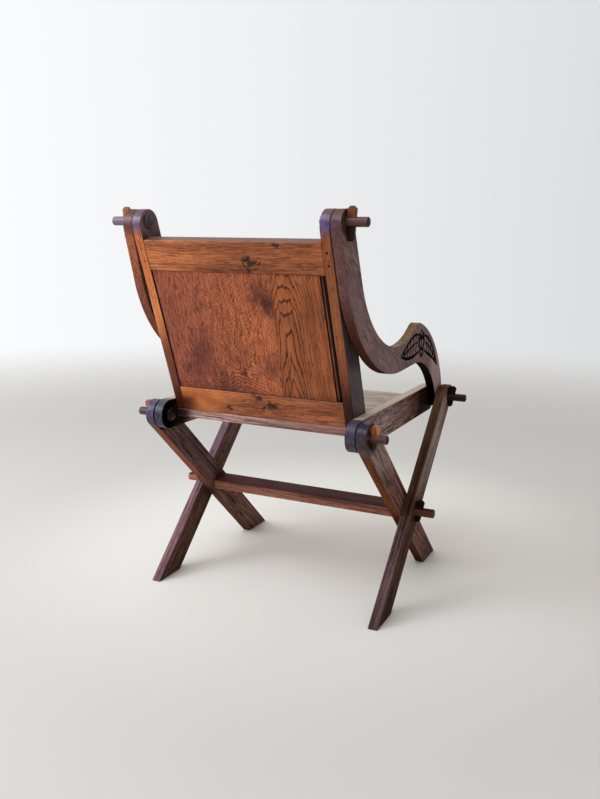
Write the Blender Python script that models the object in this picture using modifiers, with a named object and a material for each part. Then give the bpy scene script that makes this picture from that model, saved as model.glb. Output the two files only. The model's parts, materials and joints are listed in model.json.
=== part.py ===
"""Glastonbury chair: an oak armchair of flat boards, held together by round pins and wedge keys.

Metres, +Z up. The chair faces -Y, +X is the sitter's left, and the floor is Z = 0.
On each side the boards lie face to face. From the middle outwards they are the back stile,
the seat rail, the inner leg and the outer leg. The arm starts against the stile's ear and
ends between the seat rail and the outer leg, so it leans outwards towards the front.
"""
import math

import bmesh
import bpy
from mathutils import Matrix, Vector

# Pivots, as distances along the chair's depth (Y) and heights (Z)
TOP_PIVOT_Y = 0.2865
TOP_PIVOT_Z = 0.820
REAR_PIVOT_Y = 0.193
FRONT_PIVOT_Y = -0.2825
SEAT_RAIL_MID_Z = 0.407
FRONT_PIVOT_RISE = 0.004        # the front pin sits this far above the middle of the seat rail
INNER_FOOT_Y = -0.2565          # middle of the inner leg's sole
OUTER_FOOT_Y = 0.1415           # middle of the outer leg's sole

# Boards
BACK_OPENING = 0.385            # between the two stiles
STILE_THICKNESS = 0.020
EAR_RADIUS = 0.031              # also half the stile's depth
EAR_CENTRE_DROP = 0.008         # middle of the ear's round, below the top pin along the stile
SEAT_RAIL_THICKNESS = 0.0215
SEAT_RAIL_DEPTH = 0.064
LEG_THICKNESS = 0.0215
INNER_LEG_WIDTH = 0.061
OUTER_LEG_WIDTH = 0.060
OUTER_LEG_NOSE = 0.030          # the outer leg's upright front, ahead of the front pin
OUTER_LEG_TOP_DROP = 0.002      # its level top, below the seat rail's top
OUTER_LEG_CORNER = 0.005
ARM_THICKNESS = 0.0205
BOARD_EDGE = 0.0014             # worn round on every long edge
BACK_LEAN = math.radians(21)

# Arm outline, as arcs tangent to the ear and to the rounded lower end
ARM_SWEEP_FORWARD = 0.276       # the sweep's centres lie this far ahead of the top pivot
ARM_SWEEP_TOP_DROP = 0.038      # upper edge's centre, below the top pivot
ARM_SWEEP_TOP_RADIUS = 0.215
ARM_SWEEP_UNDER_DROP = 0.025    # lower edge's centre, below the top pivot
ARM_SWEEP_UNDER_RADIUS = 0.285
ARM_END_RADIUS = 0.025
ARM_FRONT_RADIUS = 0.2295
ARM_FRONT_TURN = math.radians(-8.4)
ARM_HOLLOW_RADIUS = 0.157
ARM_HOLLOW_TURN = math.radians(-16.7)
ARM_SHOULDER_ROUND = 0.017

# Back frame
TOP_RAIL_DROP = 0.028           # top rail's upper edge, below the top pivot along the stile
TOP_RAIL_HEIGHT = 0.064
BOTTOM_RAIL_HEIGHT = 0.0576     # at the rear face, from the seat board to the panel
BACK_RAIL_THICKNESS = 0.022
TENON_THICKNESS = 0.010
TENON_LENGTH = 0.014
TENON_SHOULDER = 0.012          # top and bottom of each tenon, in from the rail's edge
BOTTOM_TENON_HEIGHT = 0.036
PEG_RADIUS = 0.0025
PEG_LENGTH = 0.020
PEG_SPACING = 0.025
PEG_IN_TENON = 0.009            # peg centres, from the tenon's shoulder
PANEL_SET_BACK = 0.0015         # panel face, behind the rails' rear faces
PANEL_FIELD_RISE = 0.004
PANEL_TONGUE_THICKNESS = 0.008
PANEL_TONGUE = 0.007
PANEL_GAP = 0.00675             # field to stile when the panel is centred
PANEL_SHIFT = 0.00525           # the shrunk panel lies over to the sitter's left
GROOVE_DEPTH = 0.007

# Seat board
SEAT_DROP = 0.024               # seat board's top, below the seat rails' tops
SEAT_THICKNESS = 0.018
SEAT_HOUSING = 0.006            # board's ends, into the seat rails
SEAT_FRONT_SETBACK = 0.034      # front edge, behind the front pivot

# Stretcher
STRETCHER_WIDTH = 0.050
STRETCHER_THICKNESS = 0.022
STRETCHER_TILT = math.radians(8)
TENON_RADIUS = 0.010
STRETCHER_OVERHANG = 0.0432     # tenon's end, past the outer leg

# Pins and keys
PIN_RADIUS = 0.009
PIN_END_CHAMFER = 0.0015
PIN_HEAD_RADIUS = 0.015
PIN_HEAD_THICKNESS = 0.006
PIN_HEAD_ROUND = 0.002
PIN_BOSS_RADIUS = 0.007
PIN_BOSS_HEIGHT = 0.004
PIN_BOSS_ROUND = 0.0015
TOP_PIN_OVERHANG = 0.0415       # pin ends, past the outer face of the board that they hold
REAR_PIN_OVERHANG = 0.0347
FRONT_PIN_OVERHANG = 0.0447
KEY_THICKNESS = 0.008
KEY_HEAD_WIDTH = 0.020
KEY_TIP_WIDTH = 0.011
KEY_ABOVE = 0.027               # above and below the middle of the pin
KEY_BELOW = 0.023
TOP_KEY_HEAD_WIDTH = 0.017
TOP_KEY_TIP_WIDTH = 0.013
TOP_KEY_ABOVE = 0.028
TOP_KEY_BELOW = 0.034
KEY_CORNER = 0.005
KEY_TIP_CORNER = 0.002
KEY_EDGE = 0.0007
SLOT_DRAW = 0.0015              # the slot starts inside the board, so that the key draws the joint up

# Clearances
SEAT_CLEARANCE = 0.0008         # stile to seat rail
LEG_PLAY = 0.0010               # between the seat rail, the inner leg and the outer leg
FIT = 0.0003                    # between touching pieces

# Curve quality
BIG_ARC_STEP = math.radians(4)
SMALL_ARC_STEP = math.radians(11.25)
ROUND_SIDES = 24
PEG_SIDES = 12

# Faces of the layers on the sitter's left, worked out from the thicknesses
STILE_INNER = BACK_OPENING / 2
STILE_OUTER = STILE_INNER + STILE_THICKNESS
RAIL_INNER = STILE_OUTER + SEAT_CLEARANCE
RAIL_OUTER = RAIL_INNER + SEAT_RAIL_THICKNESS
INNER_LEG_INNER = RAIL_OUTER + LEG_PLAY
INNER_LEG_OUTER = INNER_LEG_INNER + LEG_THICKNESS
OUTER_LEG_INNER = INNER_LEG_OUTER + LEG_PLAY
OUTER_LEG_OUTER = OUTER_LEG_INNER + LEG_THICKNESS

# Pivot points in the chair's side view, as (Y, Z)
TOP_PIVOT = Vector((TOP_PIVOT_Y, TOP_PIVOT_Z))
REAR_PIVOT = Vector((REAR_PIVOT_Y, SEAT_RAIL_MID_Z))
FRONT_PIVOT = Vector((FRONT_PIVOT_Y, SEAT_RAIL_MID_Z + FRONT_PIVOT_RISE))
INNER_FOOT = Vector((INNER_FOOT_Y, 0.0))
OUTER_FOOT = Vector((OUTER_FOOT_Y, 0.0))
EAR_CENTRE = TOP_PIVOT - EAR_CENTRE_DROP * Vector((math.sin(BACK_LEAN), math.cos(BACK_LEAN)))
SEAT_RAIL_RADIUS = SEAT_RAIL_DEPTH / 2
SEAT_RAIL_TOP = SEAT_RAIL_MID_Z + SEAT_RAIL_RADIUS
SEAT_TOP_Z = SEAT_RAIL_TOP - SEAT_DROP

# The arm's middle plane: against the stile's ear at the top, between rail and leg at the front
ARM_FRONT_MID = (RAIL_OUTER + OUTER_LEG_INNER) / 2
ARM_PLAY = (OUTER_LEG_INNER - RAIL_OUTER - ARM_THICKNESS) / 2
ARM_TOP_MID = STILE_OUTER + ARM_PLAY + ARM_THICKNESS / 2
ARM_TOP_FACE = ARM_TOP_MID + ARM_THICKNESS / 2
ARM_REACH = (TOP_PIVOT - FRONT_PIVOT).length
ARM_SPLAY = math.atan2(ARM_FRONT_MID - ARM_TOP_MID, ARM_REACH)

# Middle of the back rails and their tenons, behind the top pivot in the back's upright frame
TENON_MID = EAR_RADIUS - BACK_RAIL_THICKNESS / 2

# Keys, as height above the pin, depth below it, head width and tip width
TOP_KEY = TOP_KEY_ABOVE, TOP_KEY_BELOW, TOP_KEY_HEAD_WIDTH, TOP_KEY_TIP_WIDTH
SMALL_KEY = KEY_ABOVE, KEY_BELOW, KEY_HEAD_WIDTH, KEY_TIP_WIDTH

# Stands a flat outline upright: drawn x becomes Y, drawn y becomes Z, its thickness lies along X
SIDE_VIEW = Matrix(((0, 0, 1), (1, 0, 0), (0, 1, 0))).to_4x4()
# Stands a flat outline facing the back: drawn x stays X, drawn y becomes Z
BACK_VIEW = Matrix(((1, 0, 0), (0, 0, -1), (0, 1, 0))).to_4x4()

OAK_DARK = (0.075, 0.036, 0.022)
OAK_BROWN = (0.100, 0.047, 0.027)
OAK_RED = (0.150, 0.052, 0.022)
OAK_ORANGE = (0.220, 0.080, 0.026)
OAK_TAN = (0.270, 0.140, 0.070)
OAK_PALE = (0.360, 0.160, 0.060)
SIDES = (("left", 1), ("right", -1))


def clear_scene():
    for item in list(bpy.data.objects):
        bpy.data.objects.remove(item, do_unlink=True)


def collection(name):
    made = bpy.data.collections.new(name)
    bpy.context.scene.collection.children.link(made)
    return made


# Outlines in the side view

def at_angle(centre, radius, angle):
    return Vector((centre[0] + radius * math.cos(angle), centre[1] + radius * math.sin(angle)))


def arc(centre, radius, start, end, step=SMALL_ARC_STEP):
    count = max(2, math.ceil(abs(end - start) / step))
    return [at_angle(centre, radius, start + (end - start) * i / count) for i in range(count + 1)]


def heading(start, end):
    return math.atan2(end[1] - start[1], end[0] - start[0])


def tangent_turn(total, distance):
    """Angle between the line of centres and the normal of a common tangent."""
    return math.acos(max(-1.0, min(1.0, total / distance)))


def crossing(centre_a, radius_a, centre_b, radius_b):
    """The crossing of two circles that lies furthest towards the front."""
    gap = centre_b - centre_a
    distance = gap.length
    along = (radius_a ** 2 - radius_b ** 2 + distance ** 2) / (2 * distance)
    across = math.sqrt(max(0.0, radius_a ** 2 - along ** 2))
    foot = centre_a + gap * (along / distance)
    side = Vector((-gap.y, gap.x)) * (across / distance)
    return min((foot + side, foot - side), key=lambda point: point.x)


def softened(start, corner, end, count=4):
    """A corner eased by a parabola from start to end."""
    points = []
    for i in range(1, count):
        t = i / count
        points.append(start * (1 - t) ** 2 + corner * (2 * t * (1 - t)) + end * t ** 2)
    return points


def rounded_corner(before, corner, after, reach):
    """A corner between two straight edges, eased from a distance either side of it."""
    start = corner + (before - corner).normalized() * reach
    end = corner + (after - corner).normalized() * reach
    return [start] + softened(start, corner, end) + [end]


def arm_outline():
    sweep_top = TOP_PIVOT - Vector((ARM_SWEEP_FORWARD, ARM_SWEEP_TOP_DROP))
    sweep_under = TOP_PIVOT - Vector((ARM_SWEEP_FORWARD, ARM_SWEEP_UNDER_DROP))
    front = at_angle(FRONT_PIVOT, ARM_FRONT_RADIUS - ARM_END_RADIUS, ARM_FRONT_TURN)
    hollow = at_angle(FRONT_PIVOT, ARM_HOLLOW_RADIUS + ARM_END_RADIUS, ARM_HOLLOW_TURN)

    rear_turn = tangent_turn(ARM_SWEEP_UNDER_RADIUS - EAR_RADIUS, (EAR_CENTRE - sweep_under).length)
    rear_angle = heading(sweep_under, EAR_CENTRE) - rear_turn
    dip_turn = tangent_turn(ARM_SWEEP_TOP_RADIUS + EAR_RADIUS, (EAR_CENTRE - sweep_top).length)
    dip_start = heading(sweep_top, EAR_CENTRE) - dip_turn

    shoulder = crossing(sweep_top, ARM_SWEEP_TOP_RADIUS, front, ARM_FRONT_RADIUS)
    dip_end = heading(sweep_top, shoulder) + ARM_SHOULDER_ROUND / ARM_SWEEP_TOP_RADIUS
    front_start = heading(front, shoulder) + ARM_SHOULDER_ROUND / ARM_FRONT_RADIUS
    front_end = math.pi + ARM_FRONT_TURN

    under_turn = tangent_turn(ARM_SWEEP_UNDER_RADIUS + ARM_HOLLOW_RADIUS, (hollow - sweep_under).length)
    under_start = heading(sweep_under, hollow) + under_turn

    ear = arc(EAR_CENTRE, EAR_RADIUS, rear_angle, dip_start + math.pi)
    dip = arc(sweep_top, ARM_SWEEP_TOP_RADIUS, dip_start, dip_end, BIG_ARC_STEP)
    nose = arc(front, ARM_FRONT_RADIUS, front_start, front_end, BIG_ARC_STEP)
    end = arc(FRONT_PIVOT, ARM_END_RADIUS, front_end, 2 * math.pi + ARM_HOLLOW_TURN)
    inside = arc(hollow, ARM_HOLLOW_RADIUS, math.pi + ARM_HOLLOW_TURN, under_start + math.pi, BIG_ARC_STEP)
    under = arc(sweep_under, ARM_SWEEP_UNDER_RADIUS, under_start, rear_angle, BIG_ARC_STEP)
    return ear + dip + softened(dip[-1], shoulder, nose[0]) + nose + end[1:] + inside[1:] + under[:-1]


def leg_axes(pivot, foot):
    """Unit vectors up along a leg and square to it towards the rear."""
    up = (pivot - foot).normalized()
    return up, Vector((up.y, -up.x))


def at_height(point, direction, height):
    return point + direction * ((height - point.y) / direction.y)


def inner_leg_outline():
    up, rear = leg_axes(REAR_PIVOT, INNER_FOOT)
    half = INNER_LEG_WIDTH / 2
    heel = at_height(REAR_PIVOT + rear * half, up, 0.0)
    toe = at_height(REAR_PIVOT - rear * half, up, 0.0)
    start = math.atan2(rear.y, rear.x)
    return [heel] + arc(REAR_PIVOT, half, start, start + math.pi) + [toe]


def outer_leg_outline():
    up, rear = leg_axes(FRONT_PIVOT, OUTER_FOOT)
    half = OUTER_LEG_WIDTH / 2
    rear_edge = FRONT_PIVOT + rear * half
    front_edge = FRONT_PIVOT - rear * half
    top = SEAT_RAIL_TOP - OUTER_LEG_TOP_DROP
    nose_y = FRONT_PIVOT_Y - OUTER_LEG_NOSE
    heel = at_height(rear_edge, up, 0.0)
    top_rear = at_height(rear_edge, up, top)
    top_front = Vector((nose_y, top))
    nose = front_edge + up * ((nose_y - front_edge.x) / up.x)
    toe = at_height(front_edge, up, 0.0)
    return ([heel] + rounded_corner(heel, top_rear, top_front, OUTER_LEG_CORNER)
            + rounded_corner(top_rear, top_front, nose, OUTER_LEG_CORNER) + [nose, toe])


def seat_rail_outline():
    rear_end = Vector((REAR_PIVOT_Y, SEAT_RAIL_MID_Z))
    front_end = Vector((FRONT_PIVOT_Y, SEAT_RAIL_MID_Z))
    quarter = math.pi / 2
    return (arc(rear_end, SEAT_RAIL_RADIUS, -quarter, quarter)
            + arc(front_end, SEAT_RAIL_RADIUS, quarter, 3 * quarter))


def leg_crossing():
    """Where the middles of the two legs cross: the stretcher's axis."""
    inner_up, _ = leg_axes(REAR_PIVOT, INNER_FOOT)
    _, outer_rear = leg_axes(FRONT_PIVOT, OUTER_FOOT)
    travel = (OUTER_FOOT - INNER_FOOT).dot(outer_rear) / inner_up.dot(outer_rear)
    return INNER_FOOT + inner_up * travel


# Making solids

def finish(piece, colour, roughness):
    surface = bpy.data.materials.new(piece.name + "_finish")
    surface.use_nodes = True
    shader = surface.node_tree.nodes["Principled BSDF"]
    shader.inputs["Base Color"].default_value = (*colour, 1.0)
    shader.inputs["Roughness"].default_value = roughness
    shader.inputs["Metallic"].default_value = 0.0
    piece.data.materials.clear()
    piece.data.materials.append(surface)


def ease_edges(piece, width, segments=2):
    bevel = piece.modifiers.new("worn_edges", 'BEVEL')
    bevel.width = width
    bevel.segments = segments
    bevel.limit_method = 'ANGLE'
    bevel.angle_limit = math.radians(35)


def shade(piece):
    piece.data.shade_smooth()
    piece.data.set_sharp_from_angle(angle=math.radians(30))


def add_object(name, mesh, group, parent=None, place=None):
    piece = bpy.data.objects.new(name, mesh)
    group.objects.link(piece)
    piece.parent = parent
    piece.matrix_basis = place if place is not None else Matrix()
    return piece


def flat_piece(name, outline, thickness, group, place, parent=None):
    """A closed outline of (x, y) points, extruded to a thickness and made a mesh."""
    curve = bpy.data.curves.new(name, 'CURVE')
    curve.dimensions = '2D'
    curve.fill_mode = 'BOTH'
    curve.extrude = thickness / 2
    spline = curve.splines.new('POLY')
    spline.points.add(len(outline) - 1)
    for target, (x, y) in zip(spline.points, outline):
        target.co = (x, y, 0.0, 1.0)
    spline.use_cyclic_u = True
    drawn = bpy.data.objects.new(name + "_outline", curve)
    group.objects.link(drawn)
    evaluated = drawn.evaluated_get(bpy.context.evaluated_depsgraph_get())
    mesh = bpy.data.meshes.new_from_object(evaluated)
    bpy.data.objects.remove(drawn, do_unlink=True)
    build = bmesh.new()
    build.from_mesh(mesh)
    bmesh.ops.remove_doubles(build, verts=build.verts, dist=1e-6)
    bmesh.ops.dissolve_limit(build, angle_limit=math.radians(0.5), verts=build.verts, edges=build.edges)
    bmesh.ops.recalc_face_normals(build, faces=build.faces)
    build.to_mesh(mesh)
    build.free()
    mesh.name = name
    return add_object(name, mesh, group, parent, place)


def box_piece(name, low, high, group, parent=None, place=None):
    size = Vector(high) - Vector(low)
    middle = (Vector(high) + Vector(low)) / 2
    build = bmesh.new()
    bmesh.ops.create_cube(build, size=1.0, matrix=Matrix.Translation(middle) @ Matrix.Diagonal((*size, 1.0)))
    mesh = bpy.data.meshes.new(name)
    build.to_mesh(mesh)
    build.free()
    return add_object(name, mesh, group, parent, place)


def round_bar(name, radius, start, end, group, place, parent=None, sides=ROUND_SIDES):
    """A cylinder along X from start to end."""
    build = bmesh.new()
    lay = Matrix.Translation(((start + end) / 2, 0, 0)) @ Matrix.Rotation(math.pi / 2, 4, 'Y')
    bmesh.ops.create_cone(build, cap_ends=True, segments=sides, radius1=radius, radius2=radius,
                          depth=abs(end - start), matrix=lay)
    mesh = bpy.data.meshes.new(name)
    build.to_mesh(mesh)
    build.free()
    return add_object(name, mesh, group, parent, place)


def combine(piece, other, operation):
    step = piece.modifiers.new(operation.lower(), 'BOOLEAN')
    step.operation = operation
    step.solver = 'EXACT'
    step.object = other


def as_guide(piece):
    piece.hide_render = True
    piece.display_type = 'WIRE'
    return piece


def place_at(pivot, x=0.0):
    return Matrix.Translation((x, pivot[0], pivot[1]))


def from_pivot(outline, pivot):
    return [point - pivot for point in outline]


class Chair:
    """Holds the two collections and adds one group of pieces at a time."""

    def __init__(self):
        clear_scene()
        self.parts = collection("glastonbury_chair")
        self.guides = collection("cutters")
        self.back_axis = bpy.data.objects.new("back_axis", None)
        self.parts.objects.link(self.back_axis)
        self.back_axis.location = (0.0, *TOP_PIVOT)
        self.back_axis.rotation_euler = (-BACK_LEAN, 0.0, 0.0)

    def pin_hole(self, piece, pivot, start, end, radius=PIN_RADIUS):
        name = piece.name + "_hole"
        hole = round_bar(name, radius + FIT, start, end, self.guides, place_at(pivot))
        combine(piece, as_guide(hole), 'DIFFERENCE')

    def cut_box(self, piece, low, high, parent=None):
        cutter = box_piece(piece.name + "_cut", low, high, self.guides, parent)
        combine(piece, as_guide(cutter), 'DIFFERENCE')

    def side_board(self, name, outline, thickness, middle, pivot):
        place = place_at(pivot, middle) @ SIDE_VIEW
        piece = flat_piece(name, from_pivot(outline, pivot), thickness, self.parts, place)
        ease_edges(piece, BOARD_EDGE)
        return piece

    # Legs, seat and stretcher

    def legs(self, name, side):
        across = side * INNER_LEG_INNER, side * OUTER_LEG_OUTER
        middle = leg_crossing()
        inner = self.side_board("inner_leg_" + name, inner_leg_outline(), LEG_THICKNESS,
                                side * (INNER_LEG_INNER + INNER_LEG_OUTER) / 2, REAR_PIVOT)
        outer = self.side_board("outer_leg_" + name, outer_leg_outline(), LEG_THICKNESS,
                                side * (OUTER_LEG_INNER + OUTER_LEG_OUTER) / 2, FRONT_PIVOT)
        reach = self.past(*across)
        self.pin_hole(inner, REAR_PIVOT, *reach)
        self.pin_hole(inner, middle, *reach, TENON_RADIUS)
        self.pin_hole(outer, FRONT_PIVOT, *reach)
        self.pin_hole(outer, middle, *reach, TENON_RADIUS)
        for leg in (inner, outer):
            shade(leg)
            finish(leg, OAK_BROWN, 0.45)

    @staticmethod
    def past(start, end):
        """The same span, made longer by a board's thickness at each end."""
        extra = math.copysign(LEG_THICKNESS, end - start)
        return start - extra, end + extra

    def seat_rail(self, name, side):
        rail = self.side_board("seat_rail_" + name, seat_rail_outline(), SEAT_RAIL_THICKNESS,
                               side * (RAIL_INNER + RAIL_OUTER) / 2, REAR_PIVOT)
        reach = self.past(side * RAIL_INNER, side * RAIL_OUTER)
        self.pin_hole(rail, REAR_PIVOT, *reach)
        self.pin_hole(rail, FRONT_PIVOT, *reach)
        front, rear = seat_span()
        depth = RAIL_INNER + SEAT_HOUSING + FIT
        x_span = sorted((side * STILE_INNER, side * depth))
        self.cut_box(rail, (x_span[0], front - FIT, SEAT_TOP_Z - SEAT_THICKNESS - FIT),
                     (x_span[1], rear + FIT, SEAT_TOP_Z + FIT))
        shade(rail)
        finish(rail, OAK_BROWN, 0.45)

    def room_for_rear_pin(self, piece, side):
        """Keeps a piece that reaches far enough back clear of the rear pin's head."""
        self.pin_hole(piece, REAR_PIVOT, side * STILE_INNER, side * RAIL_OUTER, PIN_HEAD_RADIUS)

    def seat_board(self):
        front, rear = seat_span()
        reach = RAIL_INNER + SEAT_HOUSING
        board = box_piece("seat_board", (-reach, front, SEAT_TOP_Z - SEAT_THICKNESS),
                          (reach, rear, SEAT_TOP_Z), self.parts)
        ease_edges(board, BOARD_EDGE)
        for _, side in SIDES:
            self.room_for_rear_pin(board, side)
        shade(board)
        finish(board, OAK_TAN, 0.40)

    def stretcher(self):
        middle = leg_crossing()
        shoulder = INNER_LEG_INNER - FIT
        turn = Matrix.Rotation(-STRETCHER_TILT, 4, 'X')
        half_width = STRETCHER_WIDTH / 2
        half_thickness = STRETCHER_THICKNESS / 2
        plank = box_piece("stretcher", (-shoulder, -half_width, -half_thickness),
                          (shoulder, half_width, half_thickness), self.parts, None, place_at(middle) @ turn)
        ease_edges(plank, BOARD_EDGE)
        end = OUTER_LEG_OUTER + STRETCHER_OVERHANG
        bar = round_bar("stretcher_tenons", TENON_RADIUS, -end, end, self.guides, place_at(middle))
        ease_edges(bar, PIN_END_CHAMFER, 1)
        combine(plank, as_guide(bar), 'UNION')
        for name, side in SIDES:
            self.key("stretcher_key_" + name, side, middle, OUTER_LEG_OUTER, plank, SMALL_KEY)
        shade(plank)
        finish(plank, OAK_ORANGE, 0.40)

    # Arms

    def arm(self, name, side):
        towards_top = (TOP_PIVOT - FRONT_PIVOT).normalized()
        hinge_line = Vector((0.0, towards_top.y, -towards_top.x))
        splay = Matrix.Rotation(-side * ARM_SPLAY, 4, hinge_line)
        place = place_at(FRONT_PIVOT, side * ARM_FRONT_MID) @ splay @ SIDE_VIEW
        outline = from_pivot(arm_outline(), FRONT_PIVOT)
        board = flat_piece("arm_" + name, outline, ARM_THICKNESS, self.parts, place)
        ease_edges(board, BOARD_EDGE)
        reach = self.past(side * STILE_OUTER, side * OUTER_LEG_INNER)
        self.pin_hole(board, TOP_PIVOT, *reach)
        self.pin_hole(board, FRONT_PIVOT, *reach)
        shade(board)
        finish(board, OAK_BROWN, 0.42)

    # Pins and keys

    def pin(self, name, side, pivot, inner_face, end):
        """A turned pin: a head with a boss inside, and a plain shank out to its end."""
        head = inner_face - FIT
        boss = head - PIN_HEAD_THICKNESS
        tip = boss - PIN_BOSS_HEIGHT
        profile = (
            (0.0, end), (PIN_RADIUS - PIN_END_CHAMFER, end), (PIN_RADIUS, end - PIN_END_CHAMFER),
            (PIN_RADIUS, head), (PIN_HEAD_RADIUS - PIN_HEAD_ROUND / 2, head),
            (PIN_HEAD_RADIUS, head - PIN_HEAD_ROUND / 2), (PIN_HEAD_RADIUS, boss + PIN_HEAD_ROUND),
            (PIN_HEAD_RADIUS - PIN_HEAD_ROUND, boss), (PIN_BOSS_RADIUS, boss),
            (PIN_BOSS_RADIUS, tip + PIN_BOSS_ROUND), (PIN_BOSS_RADIUS - PIN_BOSS_ROUND, tip), (0.0, tip))
        mesh = bpy.data.meshes.new(name)
        points = [(radius, 0.0, along) for radius, along in profile]
        mesh.from_pydata(points, [(i, i + 1) for i in range(len(points) - 1)], [])
        lay = Matrix.Rotation(side * math.pi / 2, 4, 'Y')
        turned = add_object(name, mesh, self.parts, None, place_at(pivot) @ lay)
        screw = turned.modifiers.new("turned", 'SCREW')
        screw.axis = 'Z'
        screw.steps = ROUND_SIDES
        screw.render_steps = ROUND_SIDES
        screw.use_merge_vertices = True
        screw.merge_threshold = 0.00005
        screw.use_smooth_shade = True
        finish(turned, OAK_BROWN, 0.35)
        return turned

    def key(self, name, side, pivot, face, carrier, size):
        """A wedge key against the board's outer face, and the slot for it through its carrier."""
        place = Matrix.Translation((0.0, *pivot)) @ BACK_VIEW
        wedge = flat_piece(name, key_outline(side, face + FIT, size), KEY_THICKNESS, self.parts, place)
        ease_edges(wedge, KEY_EDGE, 1)
        slot = flat_piece(name + "_slot", key_slot_outline(side, face, size), KEY_THICKNESS + 2 * FIT,
                          self.guides, place)
        combine(carrier, as_guide(slot), 'DIFFERENCE')
        shade(wedge)
        finish(wedge, OAK_PALE, 0.45)

    def pins(self, name, side):
        splay = TOP_KEY_BELOW * math.tan(ARM_SPLAY)
        joints = (
            ("top", TOP_PIVOT, STILE_INNER, ARM_TOP_FACE, TOP_PIN_OVERHANG, splay, TOP_KEY),
            ("rear", REAR_PIVOT, RAIL_INNER, INNER_LEG_OUTER, REAR_PIN_OVERHANG, 0.0, SMALL_KEY),
            ("front", FRONT_PIVOT, RAIL_INNER, OUTER_LEG_OUTER, FRONT_PIN_OVERHANG, 0.0, SMALL_KEY))
        for place, pivot, inner_face, outer_face, overhang, lean, size in joints:
            pin = self.pin(place + "_pin_" + name, side, pivot, inner_face, outer_face + overhang)
            self.key(place + "_key_" + name, side, pivot, outer_face + lean, pin, size)

    # Back, drawn upright about the top pivot and leant by its empty

    def stile(self, name, side):
        below = at_seat_level(0.0) - 2 * EAR_RADIUS
        outline = (arc((0.0, -EAR_CENTRE_DROP), EAR_RADIUS, 0.0, math.pi)
                   + [Vector((-EAR_RADIUS, below)), Vector((EAR_RADIUS, below))])
        middle = side * (STILE_INNER + STILE_OUTER) / 2
        place = Matrix.Translation((middle, 0.0, 0.0)) @ SIDE_VIEW
        board = flat_piece("back_stile_" + name, outline, STILE_THICKNESS, self.parts, place, self.back_axis)
        self.level_foot(board)
        ease_edges(board, BOARD_EDGE)
        self.pin_hole(board, TOP_PIVOT, *self.past(side * STILE_INNER, side * STILE_OUTER))
        self.room_for_rear_pin(board, side)
        for low, high in tenon_spans():
            half = TENON_THICKNESS / 2 + FIT
            self.inside_cut(board, side, STILE_INNER + TENON_LENGTH + FIT, TENON_MID - half, TENON_MID + half,
                            low - FIT, high + FIT)
        groove = panel_groove()
        top, bottom = panel_opening()
        self.inside_cut(board, side, STILE_INNER + GROOVE_DEPTH, groove[0], groove[1],
                        bottom - GROOVE_DEPTH, top + GROOVE_DEPTH)
        self.peg_holes(board, side)
        shade(board)
        finish(board, OAK_ORANGE, 0.42)

    def inside_cut(self, board, side, outer, near, far, low, high):
        """A recess into a stile's inner face."""
        start = STILE_INNER - STILE_THICKNESS
        x_span = sorted((side * start, side * outer))
        self.cut_box(board, (x_span[0], near, low), (x_span[1], far, high), self.back_axis)

    def level_foot(self, piece):
        """Cuts a piece of the leaning back level, just above the seat board."""
        reach = STILE_OUTER * 2
        floor = SEAT_TOP_Z + FIT
        cutter = box_piece(piece.name + "_level", (-reach, -reach, 0.0), (reach, TOP_PIVOT_Y + reach, floor),
                           self.guides)
        combine(piece, as_guide(cutter), 'DIFFERENCE')

    @staticmethod
    def peg_places(side):
        """Name, X and height of each drawbore peg in one stile."""
        x = side * (STILE_INNER + PEG_IN_TENON)
        for rail, (low, high) in zip(("bottom", "top"), tenon_spans()):
            middle = (low + high) / 2
            yield rail + "_lower", x, middle - PEG_SPACING / 2
            yield rail + "_upper", x, middle + PEG_SPACING / 2

    def peg_bar(self, name, x, z, radius, near, far, group):
        turn = Matrix.Translation((x, 0.0, z)) @ Matrix.Rotation(math.pi / 2, 4, 'Z')
        return round_bar(name, radius, near, far, group, turn, self.back_axis, PEG_SIDES)

    def peg_holes(self, piece, side):
        for _, x, z in self.peg_places(side):
            hole = self.peg_bar(piece.name + "_peg_hole", x, z, PEG_RADIUS + FIT,
                                EAR_RADIUS - PEG_LENGTH - FIT, EAR_RADIUS + PEG_LENGTH, self.guides)
            combine(piece, as_guide(hole), 'DIFFERENCE')

    def pegs(self, name, side):
        for place, x, z in self.peg_places(side):
            peg = self.peg_bar("peg_" + place + "_" + name, x, z, PEG_RADIUS, EAR_RADIUS - PEG_LENGTH,
                               EAR_RADIUS, self.parts)
            shade(peg)
            finish(peg, OAK_DARK, 0.5)

    def back_rail(self, name, low, high, tenon, groove_low, groove_high):
        """A rail between the stiles with a tenon bar through it and a groove for the panel."""
        reach = STILE_INNER - FIT
        front = EAR_RADIUS - BACK_RAIL_THICKNESS
        rail = box_piece(name, (-reach, front, low), (reach, EAR_RADIUS, high), self.parts, self.back_axis)
        self.level_foot(rail)
        ease_edges(rail, BOARD_EDGE)
        tenon_reach = STILE_INNER + TENON_LENGTH
        bar = box_piece(name + "_tenons", (-tenon_reach, TENON_MID - TENON_THICKNESS / 2, tenon[0]),
                        (tenon_reach, TENON_MID + TENON_THICKNESS / 2, tenon[1]), self.guides, self.back_axis)
        combine(rail, as_guide(bar), 'UNION')
        near, far = panel_groove()
        self.cut_box(rail, (-STILE_OUTER, near, groove_low), (STILE_OUTER, far, groove_high), self.back_axis)
        for _, side in SIDES:
            self.peg_holes(rail, side)
        shade(rail)
        finish(rail, OAK_ORANGE, 0.40)

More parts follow.
